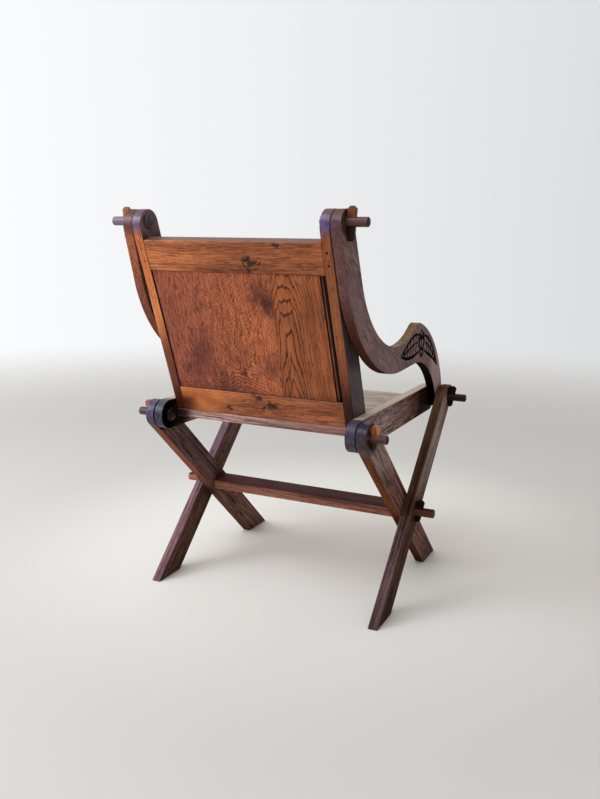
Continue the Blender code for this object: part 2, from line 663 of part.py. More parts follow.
    def panel(self):
        top, bottom = panel_opening()
        face = EAR_RADIUS - PANEL_SET_BACK
        tongue_far = face - PANEL_FIELD_RISE
        tongue_near = tongue_far - PANEL_TONGUE_THICKNESS
        field = STILE_INNER - PANEL_GAP
        board = box_piece("back_panel", (PANEL_SHIFT - field, tongue_near, bottom + FIT),
                          (PANEL_SHIFT + field, face, top - FIT), self.parts, self.back_axis)
        ease_edges(board, BOARD_EDGE, 1)
        tongue_x = field + PANEL_TONGUE
        tongue_z = GROOVE_DEPTH - FIT
        edge = box_piece("back_panel_tongue", (PANEL_SHIFT - tongue_x, tongue_near, bottom - tongue_z),
                         (PANEL_SHIFT + tongue_x, tongue_far, top + tongue_z), self.guides, self.back_axis)
        combine(board, as_guide(edge), 'UNION')
        shade(board)
        finish(board, OAK_RED, 0.38)

    def back(self):
        for name, side in SIDES:
            self.stile(name, side)
            self.pegs(name, side)
        top, bottom = panel_opening()
        lower, upper = tenon_spans()
        self.back_rail("back_top_rail", top, top + TOP_RAIL_HEIGHT, upper,
                       top - GROOVE_DEPTH, top + GROOVE_DEPTH)
        self.back_rail("back_bottom_rail", at_seat_level(EAR_RADIUS) - EAR_RADIUS, bottom, lower,
                       bottom - GROOVE_DEPTH, bottom + GROOVE_DEPTH)
        self.panel()


# Places in the back's own upright frame, measured from the top pivot

def panel_opening():
    """Heights of the top rail's lower edge and the bottom rail's upper edge."""
    return -(TOP_RAIL_DROP + TOP_RAIL_HEIGHT), at_seat_level(EAR_RADIUS) + BOTTOM_RAIL_HEIGHT


def panel_groove():
    far = EAR_RADIUS - PANEL_SET_BACK - PANEL_FIELD_RISE
    return far - PANEL_TONGUE_THICKNESS - FIT, far + FIT


def tenon_spans():
    """Heights of the bottom rail's and the top rail's tenons."""
    top, bottom = panel_opening()
    lower_high = bottom - TENON_SHOULDER
    return ((lower_high - BOTTOM_TENON_HEIGHT, lower_high),
            (top + TENON_SHOULDER, top + TOP_RAIL_HEIGHT - TENON_SHOULDER))


def at_seat_level(depth):
    """Height in the back's frame of the seat's top, at a depth in front of or behind the pivot."""
    return (SEAT_TOP_Z - TOP_PIVOT_Z + depth * math.sin(BACK_LEAN)) / math.cos(BACK_LEAN)


def seat_span():
    """Front and rear edges of the seat board: the rear one is flush with the back."""
    height = at_seat_level(EAR_RADIUS)
    rear = TOP_PIVOT_Y + EAR_RADIUS * math.cos(BACK_LEAN) + height * math.sin(BACK_LEAN)
    return FRONT_PIVOT_Y + SEAT_FRONT_SETBACK, rear


def key_outline(side, face, size):
    """A wedge with a straight inner edge, a sloping outer edge and clipped corners."""
    above, below, head, tip = size
    bottom = [(KEY_TIP_CORNER, -below), (tip - KEY_TIP_CORNER, -below), (tip, KEY_TIP_CORNER - below)]
    top = [(head, above - KEY_CORNER), (head - KEY_CORNER, above),
           (KEY_CORNER, above), (0.0, above - KEY_CORNER)]
    return [(side * (face + x), z) for x, z in bottom + top + [(0.0, KEY_TIP_CORNER - below)]]


def key_slot_outline(side, face, size):
    """The slot follows the key's sloping edge, with clearance, and passes right through."""
    above, below, head, tip = size
    slope = (head - tip) / (above - KEY_CORNER + below - KEY_TIP_CORNER)
    width_at_top = head + KEY_CORNER * slope + 2 * FIT
    width_at_tip = tip - KEY_TIP_CORNER * slope + 2 * FIT
    points = ((-SLOT_DRAW, -below), (width_at_tip, -below), (width_at_top, above), (-SLOT_DRAW, above))
    return [(side * (face + x), z) for x, z in points]


def build_chair():
    chair = Chair()
    for name, side in SIDES:
        chair.legs(name, side)
        chair.seat_rail(name, side)
        chair.arm(name, side)
        chair.pins(name, side)
    chair.seat_board()
    chair.stretcher()
    chair.back()


build_chair()
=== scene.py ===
"""Glastonbury chair in old waxed oak, on a plain pale floor.

The chair faces -Y and is seen from behind and a little to its right, as in the photograph. Each board keeps
the shape of its CAD solid and gets a grain of its own. The arms' carving and the pegs' facets are made here.
"""
import json
import math
from functools import cached_property

import bmesh
import bpy
import numpy as np
from mathutils import Matrix, Vector, geometry


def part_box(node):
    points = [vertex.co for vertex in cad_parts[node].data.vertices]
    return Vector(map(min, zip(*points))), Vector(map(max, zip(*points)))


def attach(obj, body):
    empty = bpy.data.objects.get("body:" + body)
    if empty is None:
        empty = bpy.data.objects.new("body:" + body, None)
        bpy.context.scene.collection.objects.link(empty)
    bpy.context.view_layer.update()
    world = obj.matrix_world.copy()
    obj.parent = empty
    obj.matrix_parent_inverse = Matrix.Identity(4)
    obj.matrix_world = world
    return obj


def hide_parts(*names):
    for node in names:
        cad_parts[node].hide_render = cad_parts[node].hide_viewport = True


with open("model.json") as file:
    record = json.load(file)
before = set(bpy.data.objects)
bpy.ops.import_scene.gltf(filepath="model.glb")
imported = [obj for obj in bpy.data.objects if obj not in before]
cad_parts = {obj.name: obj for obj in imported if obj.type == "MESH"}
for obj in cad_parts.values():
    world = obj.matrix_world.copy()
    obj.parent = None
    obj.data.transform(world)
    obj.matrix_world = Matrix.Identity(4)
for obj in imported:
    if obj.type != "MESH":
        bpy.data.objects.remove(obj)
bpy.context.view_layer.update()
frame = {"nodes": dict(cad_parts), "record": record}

# Places on the chair, in metres
TOP_PIVOT = Vector((0.0, 0.2865, 0.820))
REAR_PIVOT = Vector((0.0, 0.193, 0.407))
FRONT_PIVOT = Vector((0.0, -0.2825, 0.411))
CROSSING = Vector((0.0, -0.05, 0.187))
INNER_FOOT = Vector((0.0, -0.2565, 0.0))
OUTER_FOOT = Vector((0.0, 0.1415, 0.0))
GAP_AT_KNUCKLE = 0.2353
LEAN = math.radians(21)

# Directions that the grain follows
ACROSS = Vector((1.0, 0.0, 0.0))
UPRIGHT = Vector((0.0, 0.0, 1.0))
UP_THE_BACK = Vector((0.0, math.sin(LEAN), math.cos(LEAN)))
OUT_OF_THE_BACK = Vector((0.0, math.cos(LEAN), -math.sin(LEAN)))
ALONG_SEAT = Vector((0.0, 1.0, 0.0))
ALONG_INNER_LEG = (REAR_PIVOT - INNER_FOOT).normalized()
ALONG_OUTER_LEG = (FRONT_PIVOT - OUTER_FOOT).normalized()
ALONG_ARM = (TOP_PIVOT - FRONT_PIVOT).normalized()
FROM_TWIN_TO_TWIN = 0.83


# Node kit

class Wire:
    """An output of a node. Sums on wires add Math nodes to the tree that they belong to."""

    def __init__(self, tree, socket):
        self.tree = tree
        self.socket = socket

    def maths(self, operation, *others):
        return self.tree.maths(operation, self, *others)

    def __add__(self, other):
        return self.maths('ADD', other)

    __radd__ = __add__

    def __sub__(self, other):
        return self.maths('SUBTRACT', other)

    def __rsub__(self, other):
        return self.tree.maths('SUBTRACT', other, self)

    def __mul__(self, other):
        return self.maths('MULTIPLY', other)

    __rmul__ = __mul__

    def __truediv__(self, other):
        return self.maths('DIVIDE', other)

    def __rtruediv__(self, other):
        return self.tree.maths('DIVIDE', other, self)

    def __abs__(self):
        return self.maths('ABSOLUTE')

    def at_least(self, other):
        return self.maths('MAXIMUM', other)

    def fraction(self):
        return self.maths('FRACT')

    def step(self, low, high):
        """0 below low, 1 above high, and smooth between. Low may be the larger."""
        inputs = {'Value': self, 'From Min': low, 'From Max': high}
        return self.tree.node('ShaderNodeMapRange', {'interpolation_type': 'SMOOTHSTEP'}, inputs)


class Tree:
    """A node tree that is written as expressions."""

    def __init__(self, nodes):
        self.nodes = nodes

    def make(self, kind, settings=None, inputs=None):
        """A node of a kind, first with its settings made and then with its sockets fed."""
        made = self.nodes.nodes.new(kind)
        for name, value in (settings or {}).items():
            setattr(made, name, value)
        for name, value in (inputs or {}).items():
            self.feed(made.inputs[name], value)
        return made

    def node(self, kind, settings=None, inputs=None, output=0):
        return Wire(self, self.make(kind, settings, inputs).outputs[output])

    def feed(self, socket, value):
        if isinstance(value, Wire):
            self.nodes.links.new(value.socket, socket)
        elif socket.type == 'RGBA':
            socket.default_value = (*value, 1.0)
        else:
            socket.default_value = value

    def maths(self, operation, *values):
        return self.node('ShaderNodeMath', {'operation': operation}, dict(enumerate(values)))

    def vector(self, operation, *values, output=0):
        return self.node('ShaderNodeVectorMath', {'operation': operation}, dict(enumerate(values)), output)

    def dot(self, vector, direction):
        return self.vector('DOT_PRODUCT', vector, tuple(direction), output='Value')

    def size(self, vector):
        return self.vector('LENGTH', vector, output='Value')

    def mix(self, amount, first, second, blend='MIX'):
        settings = {'data_type': 'RGBA', 'blend_type': blend}
        return self.node('ShaderNodeMix', settings, {0: amount, 6: first, 7: second}, 2)

    def noise(self, vector, detail=2.0, rough=0.5, output='Fac'):
        inputs = {'Vector': vector, 'Scale': 1.0, 'Detail': detail, 'Roughness': rough}
        return self.node('ShaderNodeTexNoise', {}, inputs, output)

    def parts(self, vector):
        made = self.make('ShaderNodeSeparateXYZ', {}, {0: vector})
        return [Wire(self, socket) for socket in made.outputs]

    def joined(self, x, y, z):
        return self.node('ShaderNodeCombineXYZ', {}, {0: x, 1: y, 2: z})


class Finish(Tree):
    """A material with one Principled shader."""

    def __init__(self, name):
        self.material = bpy.data.materials.new(name)
        self.material.use_nodes = True
        super().__init__(self.material.node_tree)
        self.shader = self.nodes.nodes["Principled BSDF"]

    def set(self, **sockets):
        for name, value in sockets.items():
            self.feed(self.shader.inputs[name.replace("_", " ")], value)


class Oak(Finish):
    """Old oak, figured in its board's own directions: across the width, through the thickness, along the grain.

    A paired board has a twin on the chair's other side, with the same figure further along the tree.
    """

    def __init__(self, name, along, through, middle, paired=False, shift=0.0):
        super().__init__(name)
        self.along = along
        self.through = through
        self.across = along.cross(through).normalized()
        self.place = self.node('ShaderNodeTexCoord', output='Object')
        self.normal = self.node('ShaderNodeTexCoord', output='Normal')
        self.x, self.y, self.height = self.parts(self.place)
        self.side = self.x.maths('SIGN')
        board = self.joined(abs(self.x), self.y, self.height) if paired else self.place
        board = self.vector('SUBTRACT', board, tuple(middle))
        self.width = self.dot(board, self.across)
        self.depth = self.dot(board, through)
        self.length = self.dot(board, along) + shift
        if paired:
            self.length = self.length + self.side * FROM_TWIN_TO_TWIN
        self.board = self.joined(self.width, self.depth, self.length)

    @cached_property
    def left(self):
        """1 on the chair's left, 0 on its right."""
        return self.side.step(-0.5, 0.5)

    @cached_property
    def right(self):
        return self.side.step(0.5, -0.5)

    @cached_property
    def edges(self):
        """1 on the board's edges and ends, 0 on its two faces."""
        return abs(self.dot(self.normal, self.through)).step(0.85, 0.45)

    @cached_property
    def faces(self):
        return 1.0 - self.edges

    @cached_property
    def outward(self):
        """1 where the surface looks away from the chair's middle, -1 where it looks towards it."""
        return self.dot(self.normal, ACROSS) * self.side

    def facing(self, direction, low=0.45, high=0.85):
        """1 where the surface looks in a direction."""
        return self.dot(self.normal, direction).step(low, high)

    def beside(self, pivot, far, near):
        """1 near a pivot and 0 far from it, as seen from the chair's side."""
        seen = self.joined(0.0, self.y, self.height)
        return self.vector('DISTANCE', seen, tuple(pivot), output='Value').step(far, near)

    def stretched(self, vector, across, along):
        return self.vector('MULTIPLY', vector, (across, across, along))

    def drift(self, vector, across, along, amount):
        """A slow sideways wander of the grain."""
        wander = self.noise(self.stretched(vector, across, along), 3.0, 0.55, 'Color')
        wander = self.vector('SUBTRACT', wander, (0.5, 0.5, 0.5))
        return self.vector('MULTIPLY', wander, (amount * 2, amount * 2, 0.0))

    def figure(self, pith, ring, tilt=0.0, swirl=0.008, knots=()):
        """Growth rings about a pith that runs slightly out of the board: rows of pores, and the growth between."""
        board = self.joined(self.width, self.depth - self.length * tilt, self.length)
        bent = self.vector('ADD', board, self.drift(board, 9.0, 2.2, swirl))
        bent = self.vector('ADD', bent, self.drift(board, 75.0, 26.0, 0.0013))
        heart = self.vector('SUBTRACT', bent, (*pith, 0.0))
        radius = self.size(self.vector('MULTIPLY', heart, (1.0, 1.0, 0.0)))
        for knot in knots:
            radius = radius + knot * 0.010
        inputs = {'W': radius * (0.37 / ring), 'Scale': 1.0}
        uneven = self.node('ShaderNodeTexNoise', {'noise_dimensions': '1D'}, inputs)
        year = (radius / ring + uneven * 2.2).fraction()
        return self.pores(year, bent, 0.34, 1.0), year, bent

    def pores(self, year, bent, thick, dashed):
        """Dark rows of pores where each year's growth starts, broken into dashes."""
        dashes = self.noise(self.stretched(bent, 420.0, 20.0), 2.0, 0.6).step(0.30, 0.58)
        rows = year.step(thick, thick * 0.12) + year.step(0.92, 1.0)
        return rows * (dashes * dashed + (1.0 - dashed))

    def knot(self, middle, size):
        """1 in the heart of a knot, fading to 0 around it."""
        offset = self.vector('SUBTRACT', self.place, tuple(middle))
        offset = self.joined(self.dot(offset, self.across), self.dot(offset, self.along) * 0.75, 0.0)
        ragged = self.noise(self.stretched(self.board, 95.0, 70.0), 3.0, 0.65)
        distance = self.size(offset) + (ragged - 0.5) * size * 1.5
        return distance.step(size * 1.5, 0.0)

    def blotched(self, colour, area, tint):
        """Ragged dark spots inside an area, and a solid heart in the middle of it."""
        spots = self.noise(self.stretched(self.board, 130.0, 85.0), 3.0, 0.6).step(0.47, 0.58)
        dark = (area.step(0.05, 0.45) * spots).at_least(area.step(0.60, 0.95))
        return self.mix(dark * 0.88, colour, tint)

    def dark_round_pin_with_painted_sheen(self, colour, area, dull, painted_sheen_colour):
        """Dark wood round a pin, mottled with patches of painted bluish sheen."""
        mottle = self.noise(self.stretched(self.board, 120.0, 60.0), 3.0, 0.65).step(0.38, 0.64)
        warm = self.clouds(45.0, 30.0).step(0.50, 0.66)
        patches = self.mix(warm, painted_sheen_colour, (painted_sheen_colour[0] * 1.2, painted_sheen_colour[1] * 0.90, painted_sheen_colour[2] * 0.68))
        return self.mix(area * 0.92, colour, self.mix(mottle, dull, patches))

    def stained(self, colour, amount, tint):
        """A colour seen through a tint."""
        return self.mix(amount, colour, tint, 'MULTIPLY')

    def timber(self, figure, light, dark, pore, contrast=1.0, streak=0.7, row=0.6, fleck=0.6,
               grain=(300.0, 7.0)):
        """The wood's own colour: streaks, fibres, growth, rows of pores and loose flecks."""
        rows, year, bent = figure
        streaks = self.noise(self.stretched(bent, 48.0, 1.8), 3.0, 0.62)
        self.rows = rows
        self.fibres = self.noise(self.stretched(bent, *grain), 3.0, 0.68)
        self.flecks = self.noise(self.stretched(bent, 330.0, 46.0), 2.0, 0.6).step(0.55, 0.70)
        tone = 0.46 + (streaks - 0.5) * streak * 2.4 + (self.fibres - 0.5) * contrast * 2.0
        tone = tone + (year - 0.5) * contrast * 0.35
        colour = self.mix(tone.step(-0.05, 1.05), light, dark)
        colour = self.mix(rows * row, colour, pore)
        return self.mix(self.flecks * fleck, colour, pore)

    def clouds(self, across=11.0, along=5.0):
        return self.noise(self.stretched(self.board, across, along), 4.0, 0.62)

    def clouded(self, colour, amount, tint, low=0.45, high=0.70, size=(11.0, 5.0)):
        """Darker clouds in the wood and in its old wax."""
        return self.stained(colour, self.clouds(*size).step(low, high) * amount, tint)

    def worn(self, colour, tint):
        """Lighter wood where hands and cloths have rubbed the arrises."""
        edge = self.dot(self.normal, self.through)
        edge = edge * edge
        rubbed = edge * (1.0 - edge) * 4.0 * self.clouds(36.0, 14.0).step(0.36, 0.58)
        return self.mix(rubbed * 0.75, colour, tint)

    def waxed(self, colour, gloss, shine, rubbed=None):
        """The polish: duller in the pores and under clouds of old wax, brighter where hands have rubbed it."""
        roughness = gloss + (self.clouds() - 0.5) * 0.25 + self.flecks * 0.18 + (self.fibres - 0.5) * 0.12
        height = self.fibres * 0.5 - self.flecks * 0.8 - self.rows * 0.5
        bump = self.node('ShaderNodeBump', {}, {'Strength': 0.55, 'Distance': 0.0004, 'Height': height})
        self.set(Base_Color=colour, Roughness=roughness, Normal=bump, Specular_IOR_Level=shine)
        if rubbed:
            self.set(Coat_Weight=rubbed, Coat_Roughness=0.25)
        return self.material


# Finishes, one for each way that the grain runs

BROWN_PORE = (0.012, 0.006, 0.005)
UNSTAINED = (1.0, 1.0, 1.0)


def painted_shade_in_gap(oak):
    """1 along the gap between the left seat rail's knuckle and the leg's head, where painted shade darkens it."""
    return abs(oak.x - GAP_AT_KNUCKLE).step(0.0030, 0.0018)


def leg_oak(name, along, middle, light, dark, rear, left_edge, right_edge, left_face, right_face, pale, contrast,
            shift):
    """Legs: fine straight grain on the faces, another tone on the rear edge, and a dark head round the pin, partly
    painted shade.

    The stains on the edges and faces are (above, below) the stretcher; on the right legs they are painted shade on
    the side away from the window. The head's rim has a painted bluish sheen above the pin. The right leg's outer
    face is worn pale between the two heights in pale.
    """
    oak = Oak(name, along, ACROSS, middle, paired=True, shift=shift)
    figure = oak.figure((0.012, 0.055), 0.0030, tilt=0.012)
    low = oak.height.step(0.23, 0.16)
    left_edge, right_edge, left_face, right_face = (
        oak.mix(low, above, below) for above, below in (left_edge, right_edge, left_face, right_face))
    colour = oak.timber(figure, light, dark, BROWN_PORE, contrast, streak=0.45, row=0.45, grain=(520.0, 5.0))
    rubbed = oak.height.step(pale[0], pale[0] + 0.06) * oak.height.step(pale[1], pale[1] - 0.03)
    rubbed = rubbed * oak.right * oak.fibres.step(0.72, 0.30)
    colour = oak.mix(rubbed * 0.75, colour, (0.500, 0.375, 0.330))
    left_face = oak.mix(oak.outward.step(0.4, 0.8), left_face, (0.86, 0.76, 0.66))
    # Painted shade: on the right legs these face stains darken the side away from the window.
    colour = oak.stained(colour, 1.0, oak.mix(oak.right, left_face, right_face))
    dark_rear = tuple(0.22 * part for part in rear)
    edge = oak.timber(figure, rear, dark_rear, BROWN_PORE, 1.4, row=0.5, grain=(340.0, 5.0))
    # Painted shade on the right legs' edges, as on their faces.
    edge = oak.stained(edge, 1.0, oak.mix(oak.right, left_edge, right_edge))
    colour = oak.mix(oak.facing(oak.across) * 0.95, colour, edge)
    colour = oak.clouded(colour, 0.5, (0.45, 0.40, 0.42))
    colour = oak.stained(colour, oak.beside(CROSSING, 0.050, 0.015) * 0.7, (0.34, 0.31, 0.28))
    colour = oak.stained(colour, oak.height.step(0.070, 0.015) * 0.5, (0.45, 0.42, 0.40))
    colour = oak.worn(colour, (0.170, 0.075, 0.045))

    head = oak.beside(REAR_PIVOT, 0.041, 0.033)
    rim = head * oak.edges
    under_pin = oak.height.step(0.406, 0.384)
    # Painted reflection: blue on the rim above the pin, for a bluish window; red-brown below it.
    left_rim = oak.mix(under_pin, (0.34, 0.39, 0.70), (0.34, 0.165, 0.11))
    right_rim = oak.mix(under_pin, (0.085, 0.115, 0.200), (0.20, 0.075, 0.050))
    colour = oak.stained(colour, head * 0.8, (0.36, 0.33, 0.36))
    colour = oak.dark_round_pin_with_painted_sheen(colour, rim, (0.170, 0.102, 0.122), (0.280, 0.180, 0.235))
    colour = oak.stained(colour, rim * 0.9, oak.mix(oak.right, left_rim, right_rim))
    # Painted shade, near black, in the gap between the leg's head and the seat rail's knuckle.
    painted_shade_mask = head * painted_shade_in_gap(oak)
    colour = oak.stained(colour, painted_shade_mask, (0.06, 0.06, 0.06))
    return oak.waxed(colour, 0.46, 0.0, (rim * 0.45 + 0.05) * (1.0 - painted_shade_mask))


def seat_rail_oak():
    """Seat rails: pale at the rear, dark red in front, with black knuckles; a painted sheen on top, painted shade
    by the arm and inside the knuckles, and a painted bluish sheen on the knuckles.
    """
    oak = Oak("seat_rail_oak", ALONG_SEAT, ACROSS, Vector((0.2240, -0.04, 0.407)), paired=True, shift=0.3)
    figure = oak.figure((0.03, 0.06), 0.0036, tilt=0.03)
    colour = oak.timber(figure, (0.600, 0.400, 0.370), (0.090, 0.050, 0.049), BROWN_PORE, contrast=1.4, streak=0.4,
                        row=0.55, grain=(480.0, 5.0))
    colour = oak.stained(colour, oak.y.step(0.06, -0.05), (0.66, 0.57, 0.54))
    colour = oak.clouded(colour, 0.5, (0.50, 0.46, 0.50))
    colour = oak.stained(colour, oak.y.step(-0.080, -0.160) * 0.9, (0.44, 0.29, 0.27))
    # Painted shade near the front end, where the arm's lower end shades the rail.
    colour = oak.stained(colour, oak.y.step(-0.165, -0.200) * 0.9, (0.22, 0.20, 0.20))
    # Painted sheen: the top face is paler.
    colour = oak.mix(oak.facing(UPRIGHT) * 0.75, colour, (0.66, 0.52, 0.41))
    colour = oak.stained(colour, oak.left * oak.faces * 0.9, (0.70, 0.56, 0.42))
    colour = oak.worn(colour, (0.18, 0.095, 0.06))
    knuckle = oak.y.step(0.165, 0.195)
    colour = oak.dark_round_pin_with_painted_sheen(colour, knuckle, (0.010, 0.009, 0.016), (0.040, 0.037, 0.094))
    # Painted shade, near black, on the knuckle's inner face and in its gap beside the leg's head.
    inside_knuckle = oak.y.step(0.100, 0.150) * oak.outward.step(-0.4, -0.8)
    painted_shade_mask = inside_knuckle.at_least(knuckle * painted_shade_in_gap(oak))
    colour = oak.stained(colour, painted_shade_mask, (0.08, 0.08, 0.08))
    return oak.waxed(colour, 0.40, 0.0, (knuckle * 0.45 + 0.08) * (1.0 - painted_shade_mask))


def arm_oak():
    """Arms: greyish faces, their grey partly a painted sheen, with dark carving, an olive crest, and a rear edge
    that is warmer on the left; painted shade in the hollow, under the sweep and round the top pin, and a painted
    bluish sheen on the ears.
    """
    oak = Oak("arm_oak", ALONG_ARM, ACROSS, Vector((0.2355, 0.0, 0.62)), paired=True)
    figure = oak.figure((0.05, 0.05), 0.0034, tilt=0.02, swirl=0.005)
    # The faces' grey stands partly for a painted sheen.
    colour = oak.timber(figure, (0.345, 0.217, 0.208), (0.140, 0.081, 0.080), (0.026, 0.014, 0.014),
                        contrast=1.2, streak=0.4, row=0.35, fleck=0.4, grain=(300.0, 20.0))
    colour = oak.clouded(colour, 0.5, (0.55, 0.50, 0.53), high=0.72)
    inner = oak.outward.step(-0.4, -0.8)
    colour = oak.stained(colour, oak.left.at_least(inner) * 0.9, (0.68, 0.50, 0.34))

    dark_edge = oak.timber(figure, (0.290, 0.130, 0.118), (0.130, 0.054, 0.050), BROWN_PORE, row=0.2, fleck=0.3)
    slanting = (oak.height + abs(oak.x) * 0.80 + (oak.clouds(14.0, 8.0) - 0.5) * 0.010) / 0.0048
    slanting = abs(slanting.fraction() - 0.5).step(0.36, 0.14)
    dark_edge = oak.mix(slanting * oak.height.step(0.56, 0.66) * 0.85, dark_edge, (0.018, 0.007, 0.007))
    # Painted shade: the rear edge under the sweep, near the stile, turns a deep red-brown.
    bottom_of_sweep = oak.height.step(0.70, 0.62) * oak.y.step(0.02, 0.08)
    dark_edge = oak.mix(bottom_of_sweep * 0.92, dark_edge, (0.062, 0.013, 0.004))
    warm_edge = oak.timber(figure, (0.580, 0.180, 0.077), (0.260, 0.080, 0.041), BROWN_PORE, row=0.5)
    warm_edge = oak.stained(warm_edge, oak.height.step(0.75, 0.67), (0.58, 0.60, 0.90))
    back = oak.y.step(-0.02, 0.02)
    under = oak.facing(Vector((0.0, 0.8, -0.6)), 0.0, 0.3) * oak.edges
    rear = under * back
    colour = oak.mix(rear * 0.92, colour, oak.mix(oak.left, dark_edge, warm_edge))

    olive = oak.timber(figure, (0.250, 0.155, 0.085), (0.105, 0.060, 0.033), BROWN_PORE, row=0.3)
    crest = oak.edges * (1.0 - back) * oak.facing(Vector((0.0, 0.6, 0.8)), 0.0, 0.4)
    colour = oak.mix(crest, colour, olive)
    post = oak.y.step(-0.19, -0.23) * oak.height.step(0.54, 0.50)
    pale = post * (1.0 - oak.left) * oak.faces * (1.0 - inner)
    colour = oak.mix(pale * 0.75, colour, (0.470, 0.330, 0.315))

    ear = oak.height.step(0.785, 0.810) * oak.edges
    top = oak.facing(UPRIGHT, 0.45, 0.90)
    colour = oak.dark_round_pin_with_painted_sheen(colour, ear * 0.8, (0.044, 0.018, 0.023), (0.100, 0.042, 0.066))
    colour = oak.mix(ear * top * 0.75, colour, (0.135, 0.066, 0.042))
    # Painted shade of the top key on the arm's face round the pin.
    key_shadow_by_pin = oak.beside(TOP_PIVOT, 0.034, 0.020) * oak.faces
    colour = oak.stained(colour, key_shadow_by_pin * 0.9, (0.22, 0.20, 0.20))
    # Painted shade, near black, in the hollow at the rear of the arm's front post, darkest low down.
    shaded_hollow = under * oak.y.step(-0.10, -0.16)
    colour = oak.stained(colour, shaded_hollow * 0.97, (0.05, 0.05, 0.05))
    colour = oak.stained(colour, shaded_hollow * oak.height.step(0.490, 0.440), (0.12, 0.12, 0.12))
    colour = oak.worn(colour, (0.17, 0.090, 0.068))
    cut = oak.node('ShaderNodeAttribute', {'attribute_name': "carved"}, {}, 'Fac').step(0.0, 0.14)
    colour = oak.mix(cut * 0.96, colour, (0.004, 0.0035, 0.0035))
    dull = cut.at_least(shaded_hollow).at_least(bottom_of_sweep * rear).at_least(key_shadow_by_pin)
    return oak.waxed(colour, 0.38, 0.0, (ear * (1.0 - top) * 0.5 + 0.10) * (1.0 - dull))


def darkened_toward_seat(oak, colour):
    """The stiles' rear edges: brown all the way up on the right, and towards the seat on both sides."""
    colour = oak.stained(colour, oak.right * 0.9, (0.28, 0.25, 0.31))
    colour = oak.stained(colour, oak.right * oak.height.step(0.60, 0.46) * 0.9, (0.34, 0.32, 0.42))
    colour = oak.stained(colour, oak.right * oak.height.step(0.53, 0.45) * 0.9, (0.30, 0.29, 0.42))
    colour = oak.stained(colour, oak.left * oak.height.step(0.64, 0.54), (0.25, 0.21, 0.33))
    colour = oak.stained(colour, oak.left * oak.height.step(0.50, 0.43), (0.40, 0.34, 0.38))
    return oak.stained(colour, oak.left * oak.height.step(0.66, 0.76) * 0.6, (0.70, 0.55, 0.65))


def stile_oak():
    """Stiles: dark faces, partly painted shade, golden rear edges, and dark rims round the ears with a painted
    bluish sheen.
    """
    oak = Oak("stile_oak", UP_THE_BACK, ACROSS, Vector((0.2025, 0.20, 0.62)), paired=True)
    figure = oak.figure((0.02, 0.05), 0.0040, tilt=0.02)
    grain = (320.0, 14.0)
    face = oak.timber(figure, (0.110, 0.066, 0.076), (0.038, 0.022, 0.027), BROWN_PORE, row=0.3, grain=grain)
    face = oak.stained(face, oak.facing(ACROSS, 0.4, 0.8), (1.00, 0.80, 0.52))
    colour = oak.timber(figure, (1.000, 0.345, 0.110), (0.640, 0.192, 0.062), (0.060, 0.018, 0.010), streak=0.6,
                        row=0.3, grain=grain)
    colour = darkened_toward_seat(oak, colour)
    colour = oak.clouded(colour, 0.3, (0.48, 0.42, 0.50), low=0.48)
    # The sides are much darker than the rear edges: partly the wood's own tone, partly painted shade.
    colour = oak.mix(oak.faces, colour, face)
    ear = oak.height.step(0.785, 0.812)
    colour = oak.mix(ear * oak.left * oak.faces * 0.8, colour, (0.250, 0.126, 0.124))
    rim = ear * oak.edges
    top = oak.facing(UPRIGHT, 0.45, 0.90)
    colour = oak.dark_round_pin_with_painted_sheen(colour, rim, (0.042, 0.020, 0.046), (0.118, 0.068, 0.212))
    colour = oak.mix(rim * top * 0.75, colour, (0.150, 0.068, 0.040))
    return oak.waxed(colour, 0.34, 0.10, rim * (1.0 - top) * 0.8)


def back_rail_oak():
    """Rails of the back: golden oak with ragged knots."""
    oak = Oak("back_rail_oak", ACROSS, OUT_OF_THE_BACK, Vector((0.0, 0.255, 0.60)))
    places = (((-0.0415, 0.2899, 0.7423), 0.014), ((-0.0327, 0.2851, 0.7299), 0.008),
              ((-0.0272, 0.2918, 0.7473), 0.008), ((-0.1010, 0.3030, 0.7760), 0.006),
              ((-0.0025, 0.1816, 0.4602), 0.012), ((-0.0295, 0.1752, 0.4434), 0.015),
              ((-0.0075, 0.1717, 0.4344), 0.010), ((0.0750, 0.1700, 0.4300), 0.007))
    knots = [oak.knot(place, size) for place, size in places]
    figure = oak.figure((0.03, 0.07), 0.0034, tilt=0.03, swirl=0.012, knots=knots[:1] + knots[5:6])
    colour = oak.timber(figure, (0.760, 0.235, 0.075), (0.270, 0.076, 0.030), (0.050, 0.016, 0.009),
                        contrast=1.2, streak=0.55, row=0.42, grain=(320.0, 24.0))
    golden = oak.height.step(0.55, 0.50) * oak.x.step(0.04, 0.12)
    colour = oak.mix(golden * 0.35, colour, (0.980, 0.280, 0.050))
    colour = oak.clouded(colour, 0.7, (0.48, 0.44, 0.54), 0.44, 0.68, (13.0, 7.0))
    colour = oak.stained(colour, oak.x.step(0.16, -0.02) * 0.75, (0.56, 0.52, 0.62))
    # Painted shade in the corner by the left knuckle, where the bottom rail meets the seat and stile.
    by_knuckle = oak.x.step(0.140, 0.185) * oak.height.step(0.466, 0.436)
    colour = oak.stained(colour, by_knuckle * 0.95, (0.16, 0.10, 0.08))
    for knot in knots:
        colour = oak.blotched(colour, knot, (0.020, 0.010, 0.009))
    colour = oak.mix(oak.facing(UPRIGHT, 0.6, 0.9) * 0.8, colour, (0.11, 0.070, 0.052))
    return oak.waxed(colour, 0.32, 0.16)


